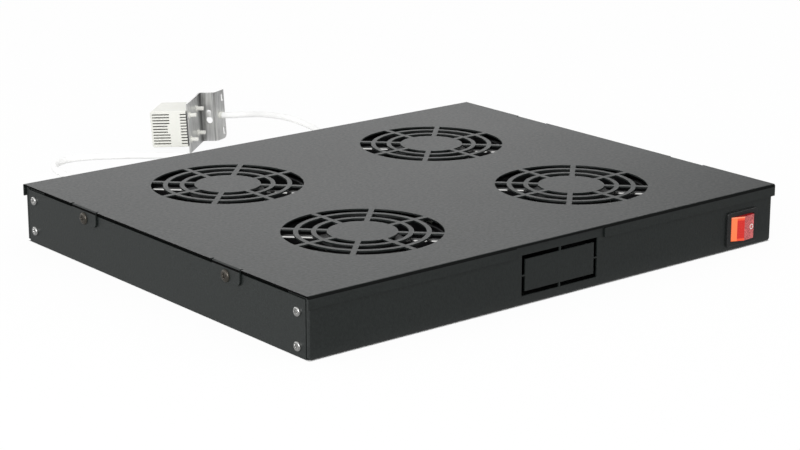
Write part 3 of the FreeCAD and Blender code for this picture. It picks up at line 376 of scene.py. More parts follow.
@dataclass(frozen=True)
class PowderCoat:
    """Satin powder coat: orange peel, small changes of gloss, and painted shade as dark lines along the lid's cut
    edges and its front bend.
    """

    name: str = Slot.CASE.value
    colour: Colour = (0.0100, 0.0130, 0.0122)
    painted_shade: Colour = (0.004, 0.004, 0.004)
    gloss: float = 0.42
    patchy: float = 9.0
    grain: float = 430.0
    speck: float = 2.6
    peel: float = 0.19 * MM
    lid_half: float = 219.8 * MM
    lid_top: float = 44.0 * MM
    shade_band: float = 1.4 * MM
    skin: float = 0.1 * MM
    tabs: Sequence[float] = (-87.0 * MM, 92.0 * MM)
    tab_half: float = 16.0 * MM
    tab_bend: float = 0.9 * MM
    bend: float = 2.1 * MM
    bend_skin: float = 0.3 * MM
    bend_deep: float = 1.2 * MM
    bend_dark: float = 0.7

    def material(self) -> bpy.types.Material:
        """Builds the coat's material.

        Returns:
            The material.
        """
        mix = Recipe(self.name)
        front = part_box("lid")[0].y
        x, y, z = mix.axes()
        fine = mix.noise(self.grain, 2.0, 0.6)
        broad = mix.noise(self.patchy, 2.0)
        speck = mix.noise(self.grain * self.speck, 1.0)
        shade = fine.ramp(0.3, 0.7) * 0.75 + broad * 0.25
        # Painted shade: a dark, rough, metallic band runs along the lid's cut edges, over the tabs too, and along its
        # front bend. It stands in for the shadowed gap under the edge and for the bend's missing reflection.
        on_tab = (abs(y - self.tabs[0]) < self.tab_half).maths("MAXIMUM", abs(y - self.tabs[1]) < self.tab_half)
        depth = on_tab * self.tab_bend + self.shade_band
        shade_band = (abs(x) > self.lid_half) * (z + depth > self.lid_top) * (z < self.lid_top - self.skin)
        fold_shade = (y < front + self.bend_deep) * (z > self.lid_top - self.bend)
        fold_shade = fold_shade * (z < self.lid_top - self.bend_skin)
        shade_band = shade_band.maths("MAXIMUM", fold_shade * self.bend_dark)
        return mix.finish(
            Base_Color=mix.mix(shade_band, mix.tinted(self.colour, 0.2, shade), self.painted_shade),
            Roughness=self.gloss + (fine - 0.5) * 0.22 + (broad - 0.5) * 0.03 + shade_band * 0.4,
            Metallic=shade_band,
            Specular_IOR_Level=0.5,
            Normal=mix.bump(fine * 0.75 + speck * 0.25, self.peel, 0.6),
        )


@dataclass(frozen=True)
class PlatedSteel:
    """Plated or oxidised screw steel with faint turning marks."""

    name: str
    colour: Colour
    gloss: float
    metal: float = 1.0
    cloudy: float = 260.0
    turned: float = 3800.0
    depth: float = 0.006 * MM

    def material(self) -> bpy.types.Material:
        """Builds the plating's material.

        Returns:
            The material.
        """
        mix = Recipe(self.name)
        cloud = mix.noise(self.cloudy, 2.0)
        marks = mix.noise(self.turned, 1.0)
        return mix.finish(
            Base_Color=mix.tinted(self.colour, 0.10, cloud),
            Metallic=self.metal,
            Roughness=self.gloss + (cloud - 0.5) * 0.16,
            Normal=mix.bump(marks, self.depth, 0.4),
        )


@dataclass(frozen=True)
class CastPaint:
    """Black paint on a die-cast frame, with a painted highlight: bright bare metal along the near bevel of one strut.
    """

    name: str = Slot.FRAME.value
    colour: Colour = (0.006, 0.006, 0.0065)
    painted_highlight: Colour = (0.92, 0.92, 0.90)
    half_x: float = 100.0 * MM
    half_y: float = 82.0 * MM
    bore: float = 58.4 * MM
    top: float = 39.2 * MM
    skim: float = 0.05 * MM
    deep: float = 0.85 * MM
    strut_half: float = 3.5 * MM
    glint_band: tuple[float, float] = (1.5 * MM, 0.03 * MM)
    grain: float = 330.0
    patchy: float = 40.0
    depth: float = 0.05 * MM

    def material(self) -> bpy.types.Material:
        """Builds the paint and the painted highlight on the bevel.

        Returns:
            The material.
        """
        mix = Recipe(self.name)
        x, y, z = mix.axes()
        across = x + self.half_x - (x > 0.0) * (2.0 * self.half_x)
        along = y + self.half_y - (y > 0.0) * (2.0 * self.half_y)
        out = (across * across + along * along).maths("SQRT")
        off = (across + along) * -math.sqrt(0.5)
        wide, skin = self.glint_band
        # Painted highlight: the near bevel of one strut, inside the bore and just under the top, is made bright
        # smooth metal so that it shows a glint.
        glint = (off > self.strut_half - wide) * (off < self.strut_half - skin)
        glint = glint * (z > self.top - self.deep) * (out < self.bore)
        glint = glint * (z < self.top - self.skim)
        pores = mix.noise(self.grain, 3.0)
        cloud = mix.noise(self.patchy, 2.0)
        return mix.finish(
            Base_Color=mix.mix(glint, mix.tinted(self.colour, 0.2, cloud), self.painted_highlight),
            Metallic=glint,
            Roughness=0.34 + cloud * 0.12 - glint * 0.18,
            Specular_IOR_Level=0.3,
            Normal=mix.bump(pores, self.depth, 0.35),
        )


@dataclass(frozen=True)
class Turned:
    """The thermostat's own frame, in which its bracket and its cover are square."""

    place: tuple[float, float] = (26.98 * MM, 323.03 * MM)
    turn: float = math.radians(48.44)
    lean: float = math.radians(3.28)

    def axes(self, mix: Recipe) -> tuple[Signal, Signal, Signal]:
        """Distances from the place where the thermostat stands.

        Args:
            mix: The material that asks.

        Returns:
            Out of the bracket, along it and up.
        """
        x, y, z = mix.axes()
        x, y = x - self.place[0], y - self.place[1]
        level = x * math.cos(self.turn) - y * math.sin(self.turn)
        along = x * math.sin(self.turn) + y * math.cos(self.turn)
        out = level * math.cos(self.lean) + z * math.sin(self.lean)
        up = z * math.cos(self.lean) - level * math.sin(self.lean)
        return out, along, up


@dataclass(frozen=True)
class Moulded:
    """Injection-moulded plastic with a fine spark-eroded skin, and painted shade inside where it is hollow."""

    name: str
    colour: Colour
    gloss: float
    grain: float = 1500.0
    depth: float = 0.012 * MM
    spread: float = 0.05
    shine: float = 0.5
    shadow: Colour = (0.03, 0.03, 0.03)
    flow: float = 45.0
    hollow: Optional[tuple[float, ...]] = None

    def material(self) -> bpy.types.Material:
        """Builds the plastic's material.

        Returns:
            The material.
        """
        mix = Recipe(self.name)
        skin = mix.noise(self.grain, 2.0)
        flow = mix.noise(self.flow, 2.0)
        tone = mix.tinted(self.colour, self.spread, flow)
        if self.hollow:
            # Painted shade: inside the room behind the thermostat cover's vents, the plastic takes the shadow colour.
            out_low, out_high, low, high, top = self.hollow
            out, along, up = Turned().axes(mix)
            inside = (out > out_low) * (out < out_high) * (along > low) * (along < high) * (up < top)
            tone = mix.mix(inside, tone, self.shadow)
        return mix.finish(
            Base_Color=tone,
            Roughness=self.gloss + (skin - 0.5) * 0.10 + (flow - 0.5) * 0.06,
            Specular_IOR_Level=self.shine,
            Normal=mix.bump(skin, self.depth, 0.6),
        )


@dataclass(frozen=True)
class Galvanised:
    """Zinc-coated sheet with rolling lines and faint spangle, and painted light: shade near the first bend, a shaded
    line and a highlight at the second bend, and a lighter foot.
    """

    name: str = Slot.STEEL.value
    colour: Colour = (0.86, 0.87, 0.84)
    first_bend: tuple[float, float] = (1.5 * MM, 44.3 * MM)
    second_bend: float = 14.2 * MM
    near_bend: tuple[float, float] = (5.0 * MM, 16.0 * MM)
    crease_at: float = 1.6 * MM
    crease_half: float = 0.7 * MM
    edge_half: float = 0.6 * MM
    far_band: float = 1.0 * MM
    foot_wide: float = 4.0 * MM
    foot_high: tuple[float, float] = (8.0 * MM, 20.0 * MM)
    rolled: tuple[float, float, float] = (1100.0, 1100.0, 25.0)
    spangle: float = 170.0
    patchy: float = 60.0
    depth: float = 0.014 * MM
    near_bend_shade: Colour = (0.10, 0.10, 0.10)
    crease_shade: Colour = (0.12, 0.12, 0.12)
    painted_highlight: Colour = (0.95, 0.95, 0.93)

    def material(self) -> bpy.types.Material:
        """Builds the sheet's material.

        Returns:
            The material.
        """
        mix = Recipe(self.name)
        lines = mix.noise(1.0, 3.0, at=mix.stretched(self.rolled))
        out, along, up = Turned().axes(mix)
        inputs = {"Vector": mix.place, "Scale": self.spangle}
        spangle = mix.node("ShaderNodeTexVoronoi", {"feature": "SMOOTH_F1"}, inputs)[0]
        cloud = mix.noise(self.patchy, 2.0)
        shade = cloud * 0.35 + lines.ramp(0.3, 0.7) * 0.5 + spangle * 0.15
        start, end = self.first_bend
        wide, long = self.near_bend
        # Painted light: darker near the first bend, a shaded line just before the second bend, a highlight along the
        # second bend and a lighter foot, standing in for reflections and shade on the bracket.
        near_bend = out.ramp(start, start + wide, 1.0, 0.0) * along.ramp(end - long, end)
        far = along > end - self.far_band
        crease_shade = (abs(out - self.second_bend + self.crease_at) < self.crease_half) * far
        edge = (abs(out - self.second_bend) < self.edge_half) * far
        foot = out.ramp(self.second_bend, self.second_bend + self.foot_wide) * up.ramp(*self.foot_high, 1.0, 0.0)
        tone = mix.tinted(self.colour, 0.42, shade)
        tone = mix.mix(near_bend * 0.62, tone, self.near_bend_shade)
        tone = mix.mix(crease_shade * 0.3, tone, self.crease_shade)
        tone = mix.mix(edge.maths("MAXIMUM", foot * 0.5), tone, self.painted_highlight)
        return mix.finish(
            Base_Color=tone,
            Metallic=1.0,
            Roughness=0.24 + lines * 0.12 + cloud * 0.04,
            Normal=mix.bump(lines, self.depth, 0.5),
        )


@dataclass(frozen=True)
class Laminated:
    """Stacked motor steel: thin level lines."""

    name: str = Slot.MOTOR.value
    colour: Colour = (0.30, 0.29, 0.27)
    waves: float = 12566.0
    depth: float = 0.04 * MM

    def material(self) -> bpy.types.Material:
        """Builds the stack's material.

        Returns:
            The material.
        """
        mix = Recipe(self.name)
        _, _, z = mix.axes()
        layer = (z * self.waves).maths("SINE") * 0.5 + 0.5
        return mix.finish(
            Base_Color=mix.tinted(self.colour, 0.25, layer),
            Metallic=0.9,
            Roughness=0.42 + layer * 0.10,
            Normal=mix.bump(layer, self.depth, 0.5),
        )


@dataclass(frozen=True)
class LensPlastic:
    """Clear red plastic whose look is painted light: it glows in its own colours, orange on the near half and frosted
    on the far half, with a painted highlight along the top rim.
    """

    name: str = Slot.ROCKER.value
    band: float = -5.6 * MM
    panel_high: float = 6.6 * MM
    panel_low: float = -7.4 * MM
    crown: float = 8.3 * MM
    end: float = 9.25 * MM
    soft: float = 0.25 * MM
    clear: tuple[float, float] = (0.1 * MM, 0.5 * MM)
    grain: float = 1100.0
    painted_glow: float = 0.62
    glow: Colour = (1.0, 0.21, 0.075)
    rim: Colour = (0.86, 0.085, 0.035)
    panel: Colour = (0.60, 0.024, 0.018)
    frost: Colour = (0.46, 0.10, 0.10)
    deep: Colour = (0.22, 0.002, 0.004)
    rim_highlight: Colour = (1.0, 0.30, 0.16)

    def material(self) -> bpy.types.Material:
        """Builds the lens, banded along the rocker.

        Returns:
            The material.
        """
        mix = Recipe(self.name)
        x, y, z = mix.axes()
        across, along, up = x - ROCKER_PIVOT[0], y - ROCKER_PIVOT[1], z - ROCKER_PIVOT[2]
        side = across * math.cos(ROCKER_TURN) - along * math.sin(ROCKER_TURN)
        soft = self.soft
        panel = up.ramp(self.panel_high - soft, self.panel_high + soft, 1.0, 0.0)
        panel = panel * up.ramp(self.panel_low - soft, self.panel_low + soft)
        inner = side.ramp(self.band - soft, self.band + soft)
        lit = mix.mix(inner, self.glow, mix.mix(panel, self.rim, self.panel))
        # Painted highlight: a light band along the top rim.
        lit = mix.mix(up.ramp(self.crown - soft, self.crown + soft), lit, self.rim_highlight)
        grain = mix.noise(self.grain, 2.0, 0.7)
        frosted = mix.tinted(self.frost, 0.45, grain.ramp(0.35, 0.65))
        far = side.ramp(*self.clear)
        face = mix.mix(far, lit, frosted)
        tone = mix.mix(abs(up) > self.end, face, self.deep)
        # Painted light: the whole rocker glows in its own colours so that it reads bright in the scene's light.
        return mix.finish(
            Base_Color=mix.mix(0.55, tone, (0.0, 0.0, 0.0)),
            Roughness=0.22 + grain * 0.10,
            Emission_Color=tone,
            Emission_Strength=self.painted_glow,
        )


# The room behind the vents of the thermostat's cover, where the white plastic gets painted shade: least and most out,
# least and most along, top.
INSIDE = (-30.4 * MM, 0.3 * MM, -2.19 * MM, 1.5 * MM, 36.9 * MM)
FINISHES = {
    Slot.CASE: PowderCoat(),
    Slot.ZINC: PlatedSteel(Slot.ZINC.value, (0.50, 0.50, 0.49), 0.24),
    Slot.DARK: PlatedSteel(Slot.DARK.value, (0.075, 0.068, 0.058), 0.32, 0.8),
    Slot.MOTOR: Laminated(),
    Slot.FRAME: CastPaint(),
    Slot.BLADE: Moulded(Slot.BLADE.value, (0.006, 0.006, 0.0065), 0.42, shine=0.3),
    Slot.BLACK: Moulded(Slot.BLACK.value, (0.011, 0.012, 0.012), 0.40),
    Slot.ROCKER: LensPlastic(),
    Slot.TINNED: PlatedSteel(Slot.TINNED.value, (0.78, 0.74, 0.62), 0.28),
    Slot.WHITE: Moulded(Slot.WHITE.value, (0.78, 0.78, 0.73), 0.42, shine=0.35, hollow=INSIDE),
    Slot.GREY: Moulded(Slot.GREY.value, (0.42, 0.40, 0.50), 0.40),
    Slot.LEAD: Moulded(Slot.LEAD.value, (0.94, 0.94, 0.93), 0.50, grain=700.0, depth=0.006 * MM),
    Slot.STEEL: Galvanised(),
}
_built: dict[Slot, bpy.types.Material] = {}


def dressed(slot: Slot) -> bpy.types.Material:
    """The material of a slot, built when it is first asked for.

    Args:
        slot: The slot.

    Returns:
        Its material.
    """
    if slot not in _built:
        _built[slot] = FINISHES[slot].material()
    return _built[slot]


# ---------------------------------------------------------------- pieces


def dress_node(node: str, slot: Slot) -> bpy.types.Object:
    """Gives a CAD node its finish.

    Args:
        node: The node's name.
        slot: The finish.

    Returns:
        The node's object.
    """
    thing = frame["nodes"][node]
    thing.data.materials.clear()
    thing.data.materials.append(dressed(slot))
    log.info("%s keeps its CAD shape, in %s", node, slot.value)
    return thing


def settle(
    thing: bpy.types.Object,
    slot: Slot,
    body: str = "root",
    stands_for: Iterable[str] = (),
) -> bpy.types.Object:
    """Links a finished piece, and says what it rides on and stands for.

    Args:
        thing: The piece, at the origin, with its place in its mesh.
        slot: Its finish.
        body: The CAD body that it moves with.
        stands_for: The CAD nodes that it hides.

    Returns:
        The piece.
    """
    if thing.name not in bpy.context.scene.collection.objects:
        bpy.context.scene.collection.objects.link(thing)
    thing.data.materials.clear()
    thing.data.materials.append(dressed(slot))
    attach(thing, body)
    nodes = list(stands_for)
    if nodes:
        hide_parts(*nodes)
    log.info("%s made, on %s, in place of %s", thing.name, body, ", ".join(nodes) or "nothing")
    return thing


def smooth_below(mesh: bpy.types.Mesh, degrees: float = 35.0) -> None:
    """Shades a mesh smooth across edges that turn less than an angle.

    Args:
        mesh: The mesh to shade.
        degrees: The angle.
    """
    net = bmesh.new()
    net.from_mesh(mesh)
    for face in net.faces:
        face.smooth = True
    limit = math.radians(degrees)
    for edge in net.edges:
        edge.smooth = edge.is_manifold and edge.calc_face_angle(math.pi) < limit
    net.to_mesh(mesh)
    net.free()


def merged_copy(node: str) -> bmesh.types.BMesh:
    """A CAD node's triangles as one net, joined at their corners.

    Args:
        node: The node's name.

    Returns:
        The net, which the caller frees.
    """
    net = bmesh.new()
    net.from_mesh(frame["nodes"][node].data)
    bmesh.ops.remove_doubles(net, verts=net.verts, dist=SAME_PLACE)
    return net


def islands(node: str) -> list[tuple[Vector, Vector]]:
    """Finds the separate solids of a CAD node.

    Args:
        node: The node's name.

    Returns:
        Lowest and highest corner of each solid.
    """
    net = merged_copy(node)
    found, seen = [], set()
    for start in net.verts:
        if start.index in seen:
            continue
        seen.add(start.index)
        front, places = [start], []
        while front:
            vertex = front.pop()
            places.append(vertex.co.copy())
            for edge in vertex.link_edges:
                other = edge.other_vert(vertex)
                if other.index not in seen:
                    seen.add(other.index)
                    front.append(other)
        found.append((Vector(map(min, *places)), Vector(map(max, *places))))
    net.free()
    return found


@dataclass
class ScrewSet:
    """Cross-slotted screws of one kind, each where the CAD has a solid of its own."""

    node: str
    slot: Slot
    head_r: float
    head_h: float
    shank_r: float
    axis: str
    dome: float = 0.45
    slot_half: float = 0.16
    slot_reach: float = 0.62
    slot_deep: float = 0.62
    rings: int = 18
    spokes: int = 48
    thread: float = 0.7 * MM
    root: float = 0.84
    tip: float = 0.7
    wall_soft: float = 0.06
    end_soft: float = 0.10
    seed: int = 7

    def _height(self, radius: float, angle: float) -> float:
        """Height of the head's top over its seat.

        Args:
            radius: Distance from the screw's axis.
            angle: Direction from the axis.

        Returns:
            The height.
        """
        share = radius / self.head_r
        side = math.sqrt(max(0.0, 1.0 - share**4))
        height = self.head_h * (self.dome * side + (1.0 - self.dome) * min(1.0, 3.0 * (1.0 - share) + 0.55))
        across, along = abs(radius * math.cos(angle)), abs(radius * math.sin(angle))
        narrow, wide = min(across, along), max(across, along)
        wall = self.head_r * self.slot_half * (1.15 - 0.5 * share)
        inside = max(0.0, min(1.0, (wall - narrow) / (self.wall_soft * self.head_r)))
        room = self.head_r * self.slot_reach - wide
        reach = max(0.0, min(1.0, room / (self.end_soft * self.head_r)))
        floor = self.head_h * self.slot_deep * (1.0 - 0.35 * share)
        return height - floor * inside * reach

    def pattern(self, shank_l: float) -> bpy.types.Mesh:
        """One screw along +Z, its seat at 0, as a closed mesh.

        Args:
            shank_l: Length of the shank under the head.

        Returns:
            The mesh.
        """
        net = bmesh.new()
        radii = [self.head_r * (ring / self.rings) for ring in range(1, self.rings + 1)]
        crown = net.verts.new((0.0, 0.0, self._height(0.0, 0.0)))
        loops = [self._loop(net, radius, lambda angle, r=radius: self._height(r, angle)) for radius in radii]
        loops.append(self._loop(net, self.head_r, lambda angle: 0.0))
        loops.append(self._loop(net, self.shank_r, lambda angle: 0.0))
        turns = max(1, int(shank_l / self.thread))
        for step in range(2 * turns):
            radius = self.shank_r * (self.root if step % 2 == 0 else 1.0)
            depth = -shank_l * (step + 1) / (2 * turns + 1)
            loops.append(self._loop(net, radius, lambda angle, d=depth: d))
        loops.append(self._loop(net, self.shank_r * self.tip, lambda angle: -shank_l))
        for index in range(self.spokes):
            after = (index + 1) % self.spokes
            net.faces.new((crown, loops[0][index], loops[0][after]))
        for upper, lower in zip(loops, loops[1:]):
            for index in range(self.spokes):
                after = (index + 1) % self.spokes
                net.faces.new((upper[index], lower[index], lower[after], upper[after]))
        net.faces.new(list(reversed(loops[-1])))
        bmesh.ops.recalc_face_normals(net, faces=net.faces)
        mesh = bpy.data.meshes.new(self.node + "_pattern")
        net.to_mesh(mesh)
        net.free()
        smooth_below(mesh, 40.0)
        return mesh

    def _loop(
        self,
        net: bmesh.types.BMesh,
        radius: float,
        height: Callable[[float], float],
    ) -> list[bmesh.types.BMVert]:
        """One ring of corners.

        Args:
            net: The net that takes them.
            radius: Distance from the axis.
            height: Function from an angle to a height.

        Returns:
            The corners in order.
        """
        corners = []
        for index in range(self.spokes):
            angle = math.tau * index / self.spokes
            corners.append(net.verts.new((radius * math.cos(angle), radius * math.sin(angle), height(angle))))
        return corners

    def build(self) -> bpy.types.Object:
        """Sets a screw on each seat, with Geometry Nodes, each turned by its own amount.

        Returns:
            The screws as one piece.
        """
        seats, ways = [], []
        for low, high in islands(self.node):
            middle = (low + high) / 2.0
            if self.axis == "x":
                side = 1.0 if middle.x > 0.0 else -1.0
                face = (high.x if side > 0.0 else -low.x) - self.head_h
                seats.append(Vector((side * face, middle.y, middle.z)))
                ways.append(Vector((side, 0.0, 0.0)))
                shank_l = (high.x - low.x) - self.head_h
            else:
                seats.append(Vector((middle.x, middle.y, high.z - self.head_h)))
                ways.append(Vector((0.0, 0.0, 1.0)))
                shank_l = (high.z - low.z) - self.head_h
        points = bpy.data.meshes.new(self.node + "_seats")
        points.from_pydata([tuple(seat) for seat in seats], [], [])
        out = points.attributes.new("out", "FLOAT_VECTOR", "POINT")
        out.data.foreach_set("vector", [part for way in ways for part in way])
        screw = bpy.data.objects.new(self.node + "_one", self.pattern(shank_l))
        bpy.context.scene.collection.objects.link(screw)
        mesh = self._tree().shape(points, Screw=screw, Seed=self.seed, Finish=dressed(self.slot))
        bpy.data.objects.remove(screw)
        made = bpy.data.objects.new(self.node + "_turned", mesh)
        return settle(made, self.slot, "root", [self.node])

    @staticmethod
    def _tree() -> Former:
        """Tree that stands the given screw on each point, along its "out" direction.

        Returns:
            The tree.
        """
        form = Former(
            "screws_on_seats",
            Screw="NodeSocketObject",
            Seed="NodeSocketInt",
            Finish="NodeSocketMaterial",
        )
        inputs = {"Object": form.inlet["Screw"], "As Instance": True}
        info = form.node("GeometryNodeObjectInfo", {"transform_space": "ORIGINAL"}, inputs)
        screw = [out for out in info if out.socket.name == "Geometry"][0]
        out = form.node("GeometryNodeInputNamedAttribute", {"data_type": "FLOAT_VECTOR"}, {"Name": "out"})[0]
        facing = form.node("FunctionNodeAlignRotationToVector", {"axis": "Z"}, {"Vector": out})[0]
        inputs = {2: 0.0, 3: math.tau, "Seed": form.inlet["Seed"]}
        spin = form.node("FunctionNodeRandomValue", {"data_type": "FLOAT"}, inputs)[1]
        about = form.node("ShaderNodeCombineXYZ", inputs={"Z": spin})[0]
        twist = form.node("FunctionNodeEulerToRotation", inputs={0: about})[0]
        turned = form.node("FunctionNodeRotateRotation", {"rotation_space": "LOCAL"}, {0: facing, 1: twist})[0]
        inputs = {"Points": form.start, "Instance": screw, "Rotation": turned}
        return form.end(form.node("GeometryNodeInstanceOnPoints", inputs=inputs)[0])


@dataclass
class Case:
    """Folded and powder-coated sheet: lid, tray and side panels, and the screws that hold them."""

    sheets: Sequence[str] = ("lid", "base_tray", "side_panel_left", "side_panel_right")

    def build(self) -> None:
        """Dresses the sheets and sets the screws."""
        for sheet in self.sheets:
            dress_node(sheet, Slot.CASE)
        ScrewSet("side_panel_screws", Slot.ZINC, 3.5 * MM, 1.8 * MM, 2.0 * MM, "x", seed=3).build()
        ScrewSet("lid_screws", Slot.DARK, 4.6 * MM, 1.8 * MM, 2.0 * MM, "x", dome=0.9, slot_reach=0.5, seed=5).build()


@dataclass
class Fans:
    """Four axial fans, with the screws that hold them to the floor."""

    places: Sequence[str] = ("front_left", "front_right", "rear_left", "rear_right")

    def build(self) -> None:
        """Dresses frames, impellers and motors."""
        for place in self.places:
            dress_node("fan_frame_" + place, Slot.FRAME)
            dress_node("fan_impeller_" + place, Slot.BLADE)
        dress_node("fan_motors", Slot.MOTOR)
        ScrewSet("fan_screws", Slot.ZINC, 3.8 * MM, 2.6 * MM, 1.9 * MM, "z", rings=12, spokes=32, seed=11).build()


@dataclass
class Electrics:
    """Rocker switch, mains inlet and terminal strip."""

    ridge: float = 11.5 * MM
    slope: float = math.atan2(2.8, 11.2)
    rounding: float = 0.35 * MM
    bore: float = 3.0 * MM
    mark_along: float = 8.7 * MM
    mark_r: float = 1.75 * MM
    mark_line: float = 0.28 * MM
    mark_flat: float = 0.4
    mark_lift: float = 0.02 * MM
    mark_steps: tuple[int, int] = (40, 8)

    def build(self) -> None:
        """Dresses the electric parts and makes the rocker."""
        for node in ("switch_housing", "inlet_housing"):
            dress_node(node, Slot.BLACK)
        for node in ("switch_terminals", "inlet_pins"):
            dress_node(node, Slot.TINNED)
        dress_node("terminal_strip", Slot.WHITE)
        self._rocker()
        self._ring()

    def _rocker(self) -> None:
        """The rocker with its edges rounded."""
        net = merged_copy("switch_rocker")
        centre, bent = Vector(ROCKER_PIVOT), math.radians(15.0)
        sharp = [
            edge
            for edge in net.edges
            if edge.is_manifold
            and edge.calc_face_angle(0.0) > bent
            and all((vertex.co - centre).xy.length > self.bore for vertex in edge.verts)
        ]
        bmesh.ops.bevel(
            net,
            geom=sharp,
            offset=self.rounding,
            offset_type="OFFSET",
            segments=3,
            profile=0.5,
            affect="EDGES",
            clamp_overlap=True,
        )
        mesh = bpy.data.meshes.new("rocker")
        net.to_mesh(mesh)
        net.free()
        smooth_below(mesh, 30.0)
        settle(bpy.data.objects.new("rocker", mesh), Slot.ROCKER, "rocker", ["switch_rocker"])

    def _ring(self) -> None:
        """The round mark on the rocker's far half, as a thin raised ring."""
        net = bmesh.new()
        around, section = self.mark_steps
        loops = []
        for step in range(around):
            angle = math.tau * step / around
            spoke = Vector((math.cos(angle), math.sin(angle), 0.0))
            loop = []
            for turn in range(section):
                bend = math.tau * turn / section
                reach = self.mark_r + self.mark_line * math.cos(bend)
                rise = self.mark_flat * self.mark_line * math.sin(bend)
                loop.append(net.verts.new(spoke * reach + Vector((0.0, 0.0, rise))))
            loops.append(loop)
        for step, loop in enumerate(loops):
            after = loops[(step + 1) % around]
            for turn in range(section):
                beyond = (turn + 1) % section
                net.faces.new((loop[turn], after[turn], after[beyond], loop[beyond]))
        bmesh.ops.recalc_face_normals(net, faces=net.faces)
        along = Vector((math.cos(self.slope), math.sin(self.slope), 0.0))
        out = Vector((math.sin(self.slope), -math.cos(self.slope), 0.0))
        centre = Vector((0.0, -self.ridge, 0.0)) + along * self.mark_along + out * self.mark_lift
        facing = Matrix((along, Vector((0.0, 0.0, 1.0)), out)).transposed().to_4x4()
        local = Matrix.Translation(centre) @ facing
        world = Matrix.Translation(ROCKER_PIVOT) @ Matrix.Rotation(-ROCKER_TURN, 4, "Z") @ local
        net.transform(world)
        mesh = bpy.data.meshes.new("rocker_mark")
        net.to_mesh(mesh)
        net.free()
        smooth_below(mesh, 80.0)
        settle(bpy.data.objects.new("rocker_mark", mesh), Slot.WHITE, "rocker")


@dataclass
class Thermostat:
    """Bimetal thermostat on its bracket."""

    finishes: Mapping[str, Slot] = field(
        default_factory=lambda: {
            "thermostat_bracket": Slot.STEEL,
            "thermostat_base": Slot.WHITE,
            "thermostat_cover": Slot.WHITE,
            "thermostat_switch": Slot.WHITE,
            "thermostat_dial": Slot.GREY,
            "bracket_grommet": Slot.WHITE,
        }
    )

    def build(self) -> None:
        """Dresses the thermostat's pieces."""
        for node, slot in self.finishes.items():
            dress_node(node, slot)


@dataclass
class Lead:
    """White lead that leaves the rear wall, lies in one loose bend and ends in the thermostat."""

    radius: float = 2.7 * MM
    length: float = 0.6439
    route: Sequence[tuple[float, float, float]] = (
        (-0.095, 0.191, 0.022),
        (-0.095, 0.206, 0.022),
        (-0.096, 0.225, 0.0175),
        (-0.097, 0.246, 0.010),
        (-0.099, 0.268, 0.0045),
        (-0.101, 0.292, 0.0027),
        (-0.102, 0.316, 0.0027),
        (-0.100, 0.336, 0.0027),
        (-0.092, 0.352, 0.0027),
        (-0.078, 0.361, 0.0027),
        (-0.060, 0.360, 0.0027),
        (-0.041, 0.350, 0.0027),
        (-0.014, 0.332, 0.0027),
        (0.009, 0.312, 0.0027),
        (0.031, 0.289, 0.0027),
        (0.057, 0.268, 0.0027),
        (0.090, 0.259, 0.0027),
        (0.122, 0.266, 0.0027),
        (0.145, 0.285, 0.0027),
        (0.158, 0.309, 0.0027),
        (0.161, 0.330, 0.004),
        (0.152, 0.345, 0.0087),
        (0.134, 0.346, 0.014),
        (0.113, 0.341, 0.019),
        (0.0945, 0.3345, 0.0226),
        (0.07873, 0.33773, 0.02337),
        (0.07305, 0.35212, 0.02254),
        (0.06921, 0.35921, 0.02209),
        (0.06274, 0.36469, 0.02161),
        (0.0542, 0.36619, 0.02122),
        (0.04566, 0.36377, 0.021),
        (0.03713, 0.3562, 0.021),
    )

    def build(self) -> None:
        """Lays the lead along its route, and dresses the bushing that it leaves by."""
        curve = bpy.data.curves.new("lead_line", "CURVE")
        curve.dimensions = "3D"
        curve.resolution_u = 12
        curve.bevel_depth = self.radius
        curve.bevel_resolution = 6
        curve.use_fill_caps = True
        line = curve.splines.new("NURBS")
        line.points.add(len(self.route) - 1)
        for point, place in zip(line.points, self.route):
            point.co = (*place, 1.0)
        line.order_u = 3
        line.use_endpoint_u = True
        lead = bpy.data.objects.new("lead", curve)
        settle(lead, Slot.LEAD, "root", ["thermostat_lead"])
        bushing = dress_node("lead_bushing", Slot.WHITE)


@dataclass(frozen=True)
class SoftBox:
    """One square lamp: where it hangs, what it points at, its side and its watts."""

    name: str
    place: tuple[float, float, float]
    at: tuple[float, float, float]
    size: float
    power: float

    def build(self) -> None:
        """Hangs the lamp."""
        data = bpy.data.lights.new(self.name, "AREA")
        data.shape = "SQUARE"
        data.size = self.size
        data.energy = self.power
        lamp = bpy.data.objects.new(self.name, data)
        bpy.context.scene.collection.objects.link(lamp)
        lamp.location = self.place
        lamp.rotation_euler = (Vector(self.at) - Vector(self.place)).to_track_quat("-Z", "Y").to_euler()


